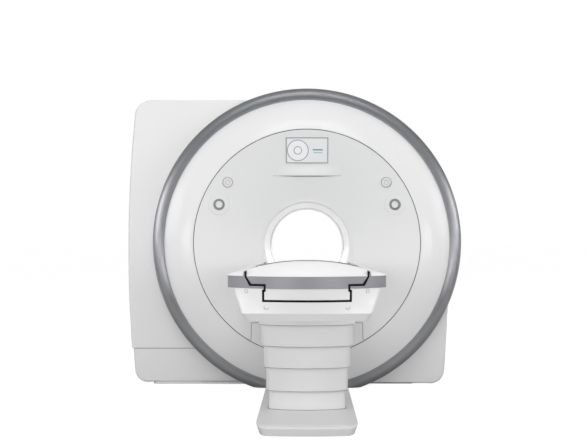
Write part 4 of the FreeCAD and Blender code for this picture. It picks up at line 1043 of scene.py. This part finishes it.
def nose_height(x, y):
    """Height of the nose's top: it rises from the band to a crest and falls behind it."""
    inward = max(0.0, NOSE_R - math.hypot(x, y - NOSE_CENTRE_Y))
    share = min(1.0, inward / CREST_BACK)
    up = BAND_TOP + (CREST_Z - BAND_TOP) * (1 - (1 - share) ** NOSE_SWELL)
    if inward > CREST_BACK:
        t = min(1.0, (inward - CREST_BACK) / (NOSE_LENGTH - CREST_BACK + FALL_SPARE))
        up = CREST_Z - (CREST_Z - BOARD_RIM) * t * (FALL_STRAIGHT + (1 - FALL_STRAIGHT) * t)
    arch = CREST_Z - CREST_ARCH_R + math.sqrt(CREST_ARCH_R**2 - x * x)
    total = sum(math.exp(-CREST_BLEND * (height - BAND_TOP)) for height in (up, arch))
    return BAND_TOP + max(NOSE_EDGE, -math.log(total) / CREST_BLEND)


def nose():
    """The white shell of the nose, in front of the board."""
    across, along = 72, 40
    top, under = [], []
    for i in range(across + 1):
        x = nose_high.x * (2 * i / across - 1)
        front = nose_arc(x) + NOSE_INSET
        depths = [front + (nose_high.y - front) * (j / along) ** NOSE_SPACING for j in range(along + 1)]
        top.append([Vector((x, y, nose_height(x, y))) for y in depths])
        under.append([Vector((x, y, BAND_TOP)) for y in depths])
    piece("nose_shell", slab(top, under), "cover_white", "tabletop", ["nose_cap"])


def crest_shade():
    """A thin dark strip along the nose's crest: painted shade where the nose's back edge falls into shadow.
    """
    course = []
    steps = 60
    for n in range(steps + 1):
        x = CREST_HALF * (2 * n / steps - 1)
        y = nose_arc(x, CREST_BACK)
        course.append((Vector((x, y, nose_height(x, y))), UP))
    ribbon("crest_trim", course, CREST_SHADE_WIDTH, CREST_SHADE_LIFT, body="tabletop")


def strap_lug(side, word):
    """A small eye for the patient's strap, on the nose's crest."""
    x = side * LUG_X
    y = nose_arc(x, CREST_BACK) + LUG_SETBACK
    base = nose_height(x, y) - LUG_SINK
    foot_half, top_half, soft = 0.011, 0.006, 0.004
    outline = eased(
        [(-foot_half, 0, 0), (foot_half, 0, 0), (top_half, LUG_HEIGHT, soft), (-top_half, LUG_HEIGHT, soft)]
    )
    loops = [[Vector((x + a, y + d, base + b)) for a, b in outline] for d in (-LUG_HALF, LUG_HALF)]
    piece(f"strap_lug_{word}", skin(loops, closed=False), "frame_grey", "tabletop")


nose()
crest_shade()
strap_lug(-1, "left")
strap_lug(1, "right")


# ==== mattress pad ====
def pad():
    """A foam mat in a vinyl cover: crowned, with rounded ends and cross channels."""
    low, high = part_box("mattress_pad")
    length = high.y - low.y
    around, along = 48, 240
    loops = []
    for j in range(along + 1):
        y = low.y + length * j / along
        end = min(y - low.y, high.y - y)
        taper = math.sqrt(max(0.0, 1 - (1 - min(1.0, end / PAD_END)) ** 2))
        channel = 0.0
        for k in range(1, PAD_CHANNELS + 1):
            away = (y - (low.y + length * k / (PAD_CHANNELS + 1))) / PAD_CHANNEL_HALF
            channel += PAD_CHANNEL_DEPTH * math.exp(-away * away)
        pull = PAD_PULL * math.sin(math.pi * (y - low.y) / length)
        half = (high.x - PAD_SIDE_GAP - pull) * (PAD_END_WIDTH + (1 - PAD_END_WIDTH) * taper)
        loop = []
        for i in range(around):
            a = 2 * math.pi * i / around
            c, s = math.cos(a), math.sin(a)
            x = half * math.copysign(abs(c) ** PAD_SIDE_POWER, c)
            share = x / high.x
            floor_z = low.z + PAD_DISH * share * share
            roof_z = high.z - PAD_CROWN * share * share - channel * (1 - share**8)
            thick = (roof_z - floor_z) / 2 * (PAD_END_THICK + (1 - PAD_END_THICK) * taper)
            up = math.copysign(abs(s) ** PAD_EDGE_POWER, s)
            loop.append(Vector((x, y, (roof_z + floor_z) / 2 + thick * up)))
        loops.append(loop)
    shape = skin(loops, closed=False)
    item = piece("pad_mat", shape, "pad_cover", "tabletop", ["mattress_pad"], sharp=60)


pad()


# ==== camera, light and floor ====
def camera():
    data = bpy.data.cameras.new("camera")
    data.sensor_width = SENSOR_MM
    data.lens = FOCAL_PX * SENSOR_MM / PHOTO_WIDTH
    data.shift_x = (PHOTO_WIDTH / 2 - VANISH_X) / PHOTO_WIDTH
    data.shift_y = (VANISH_Y - PHOTO_HEIGHT / 2) / PHOTO_WIDTH
    item = bpy.data.objects.new("camera", data)
    item.location = CAMERA_PLACE
    item.rotation_euler = (math.pi / 2, 0, 0)
    bpy.context.scene.collection.objects.link(item)
    bpy.context.scene.camera = item


def lamp(name, kind, place, power, mirrored):
    """A lamp that the camera never sees, nor glossy surfaces where mirrored is false."""
    data = bpy.data.lights.new(name, kind)
    data.energy = power
    item = bpy.data.objects.new(name, data)
    item.location = place
    item.visible_camera = False
    item.visible_glossy = mirrored
    bpy.context.scene.collection.objects.link(item)
    return item


def softbox(name, place, aim, width, height, power, mirrored):
    """A soft rectangular lamp that points at its aim."""
    item = lamp(name, "AREA", place, power, mirrored)
    item.data.shape = "RECTANGLE"
    item.data.size, item.data.size_y = width, height
    item.rotation_euler = (Vector(aim) - Vector(place)).to_track_quat("-Z", "Y").to_euler()


def bore_lamp(name, y, power):
    """The bore's own soft lighting."""
    item = lamp(name, "POINT", (0, y, BORE_Z + BORE_LAMP_RISE), power, False)
    item.data.shadow_soft_size = BORE_LAMP_R


def seen_directly(nodes, glossy):
    """1 for camera and transmission rays, and for glossy ones where glossy (a node) gives 1."""
    path = nodes.add("ShaderNodeLightPath")
    direct = nodes.add("ShaderNodeMath", operation="ADD", use_clamp=True)
    mirror = nodes.add("ShaderNodeMath", operation="MULTIPLY")
    total = nodes.add("ShaderNodeMath", operation="ADD", use_clamp=True)
    nodes.link(path, "Is Camera Ray", direct, 0)
    nodes.link(path, "Is Transmission Ray", direct, 1)
    nodes.link(path, "Is Glossy Ray", mirror, 0)
    nodes.link(glossy, "Result", mirror, 1)
    nodes.link(direct, "Value", total, 0)
    nodes.link(mirror, "Value", total, 1)
    return total


def two_looks(nodes, space, edge, plain, white):
    """Shows one shader to the room and, to direct rays and to mirrors of the back, a white one."""
    coords = nodes.add("ShaderNodeTexCoord")
    split = nodes.add("ShaderNodeSeparateXYZ")
    behind = nodes.add(
        "ShaderNodeMapRange", interpolation_type="SMOOTHSTEP", From_Min=edge[0], From_Max=edge[1]
    )
    mix = nodes.add("ShaderNodeMixShader")
    nodes.link(coords, space, split, "Vector")
    nodes.link(split, "Y", behind, "Value")
    nodes.link(seen_directly(nodes, behind), "Value", mix, 0)
    nodes.link(plain, 0, mix, 1)
    nodes.link(white, 0, mix, 2)
    return split, mix


def world():
    """White behind the object; a plain grey room, lighter above, everywhere else."""
    studio = bpy.data.worlds.new("studio")
    bpy.context.scene.world = studio
    nodes = empty_nodes(studio)
    out = nodes.add("ShaderNodeOutputWorld")
    white = nodes.add("ShaderNodeBackground", Strength=1.0, Color=(1, 1, 1, 1))
    room = nodes.add("ShaderNodeBackground", Strength=1.0)
    split, mix = two_looks(nodes, "Generated", BACKDROP_EDGE, room, white)
    height = nodes.add("ShaderNodeMapRange", From_Min=-1.0)
    levels = nodes.add("ShaderNodeValToRGB")
    levels.color_ramp.interpolation = "EASE"
    levels.color_ramp.elements.new(0.5)
    for element, (position, level) in zip(levels.color_ramp.elements, ROOM_LEVELS):
        element.position = position
        element.color = (level, level, level, 1)
    nodes.link(split, "Z", height, "Value")
    nodes.link(height, "Result", levels, "Fac")
    nodes.link(levels, "Color", room, "Color")
    nodes.link(mix, "Shader", out, "Surface")


def floor():
    """A plain pale floor, white to the camera, that keeps a faint shadow."""
    mesh = bpy.data.meshes.new("floor")
    far = FLOOR_HALF
    mesh.from_pydata([(-far, -far, 0), (far, -far, 0), (far, far, 0), (-far, far, 0)], [], [(0, 1, 2, 3)])
    item = bpy.data.objects.new("floor", mesh)
    bpy.context.scene.collection.objects.link(item)
    material = bpy.data.materials.new("floor")
    nodes = empty_nodes(material)
    out = nodes.add("ShaderNodeOutputMaterial")
    pale = nodes.add("ShaderNodeBsdfDiffuse", Color=FLOOR_COLOUR)
    lit = nodes.add("ShaderNodeBsdfDiffuse", Color=FLOOR_SHADED)
    even = nodes.add("ShaderNodeEmission", Strength=FLOOR_EVEN)
    white = nodes.add("ShaderNodeAddShader")
    nodes.link(lit, 0, white, 0)
    nodes.link(even, 0, white, 1)
    mix = two_looks(nodes, "Object", FLOOR_EDGE, pale, white)[1]
    nodes.link(mix, "Shader", out, "Surface")
    mesh.materials.append(material)


camera()
world()
floor()
for lamp_facts in LAMPS:
    softbox(*lamp_facts)
for lamp_facts in BORE_LAMPS:
    bore_lamp(*lamp_facts)
bpy.context.scene.view_settings.view_transform = "Standard"
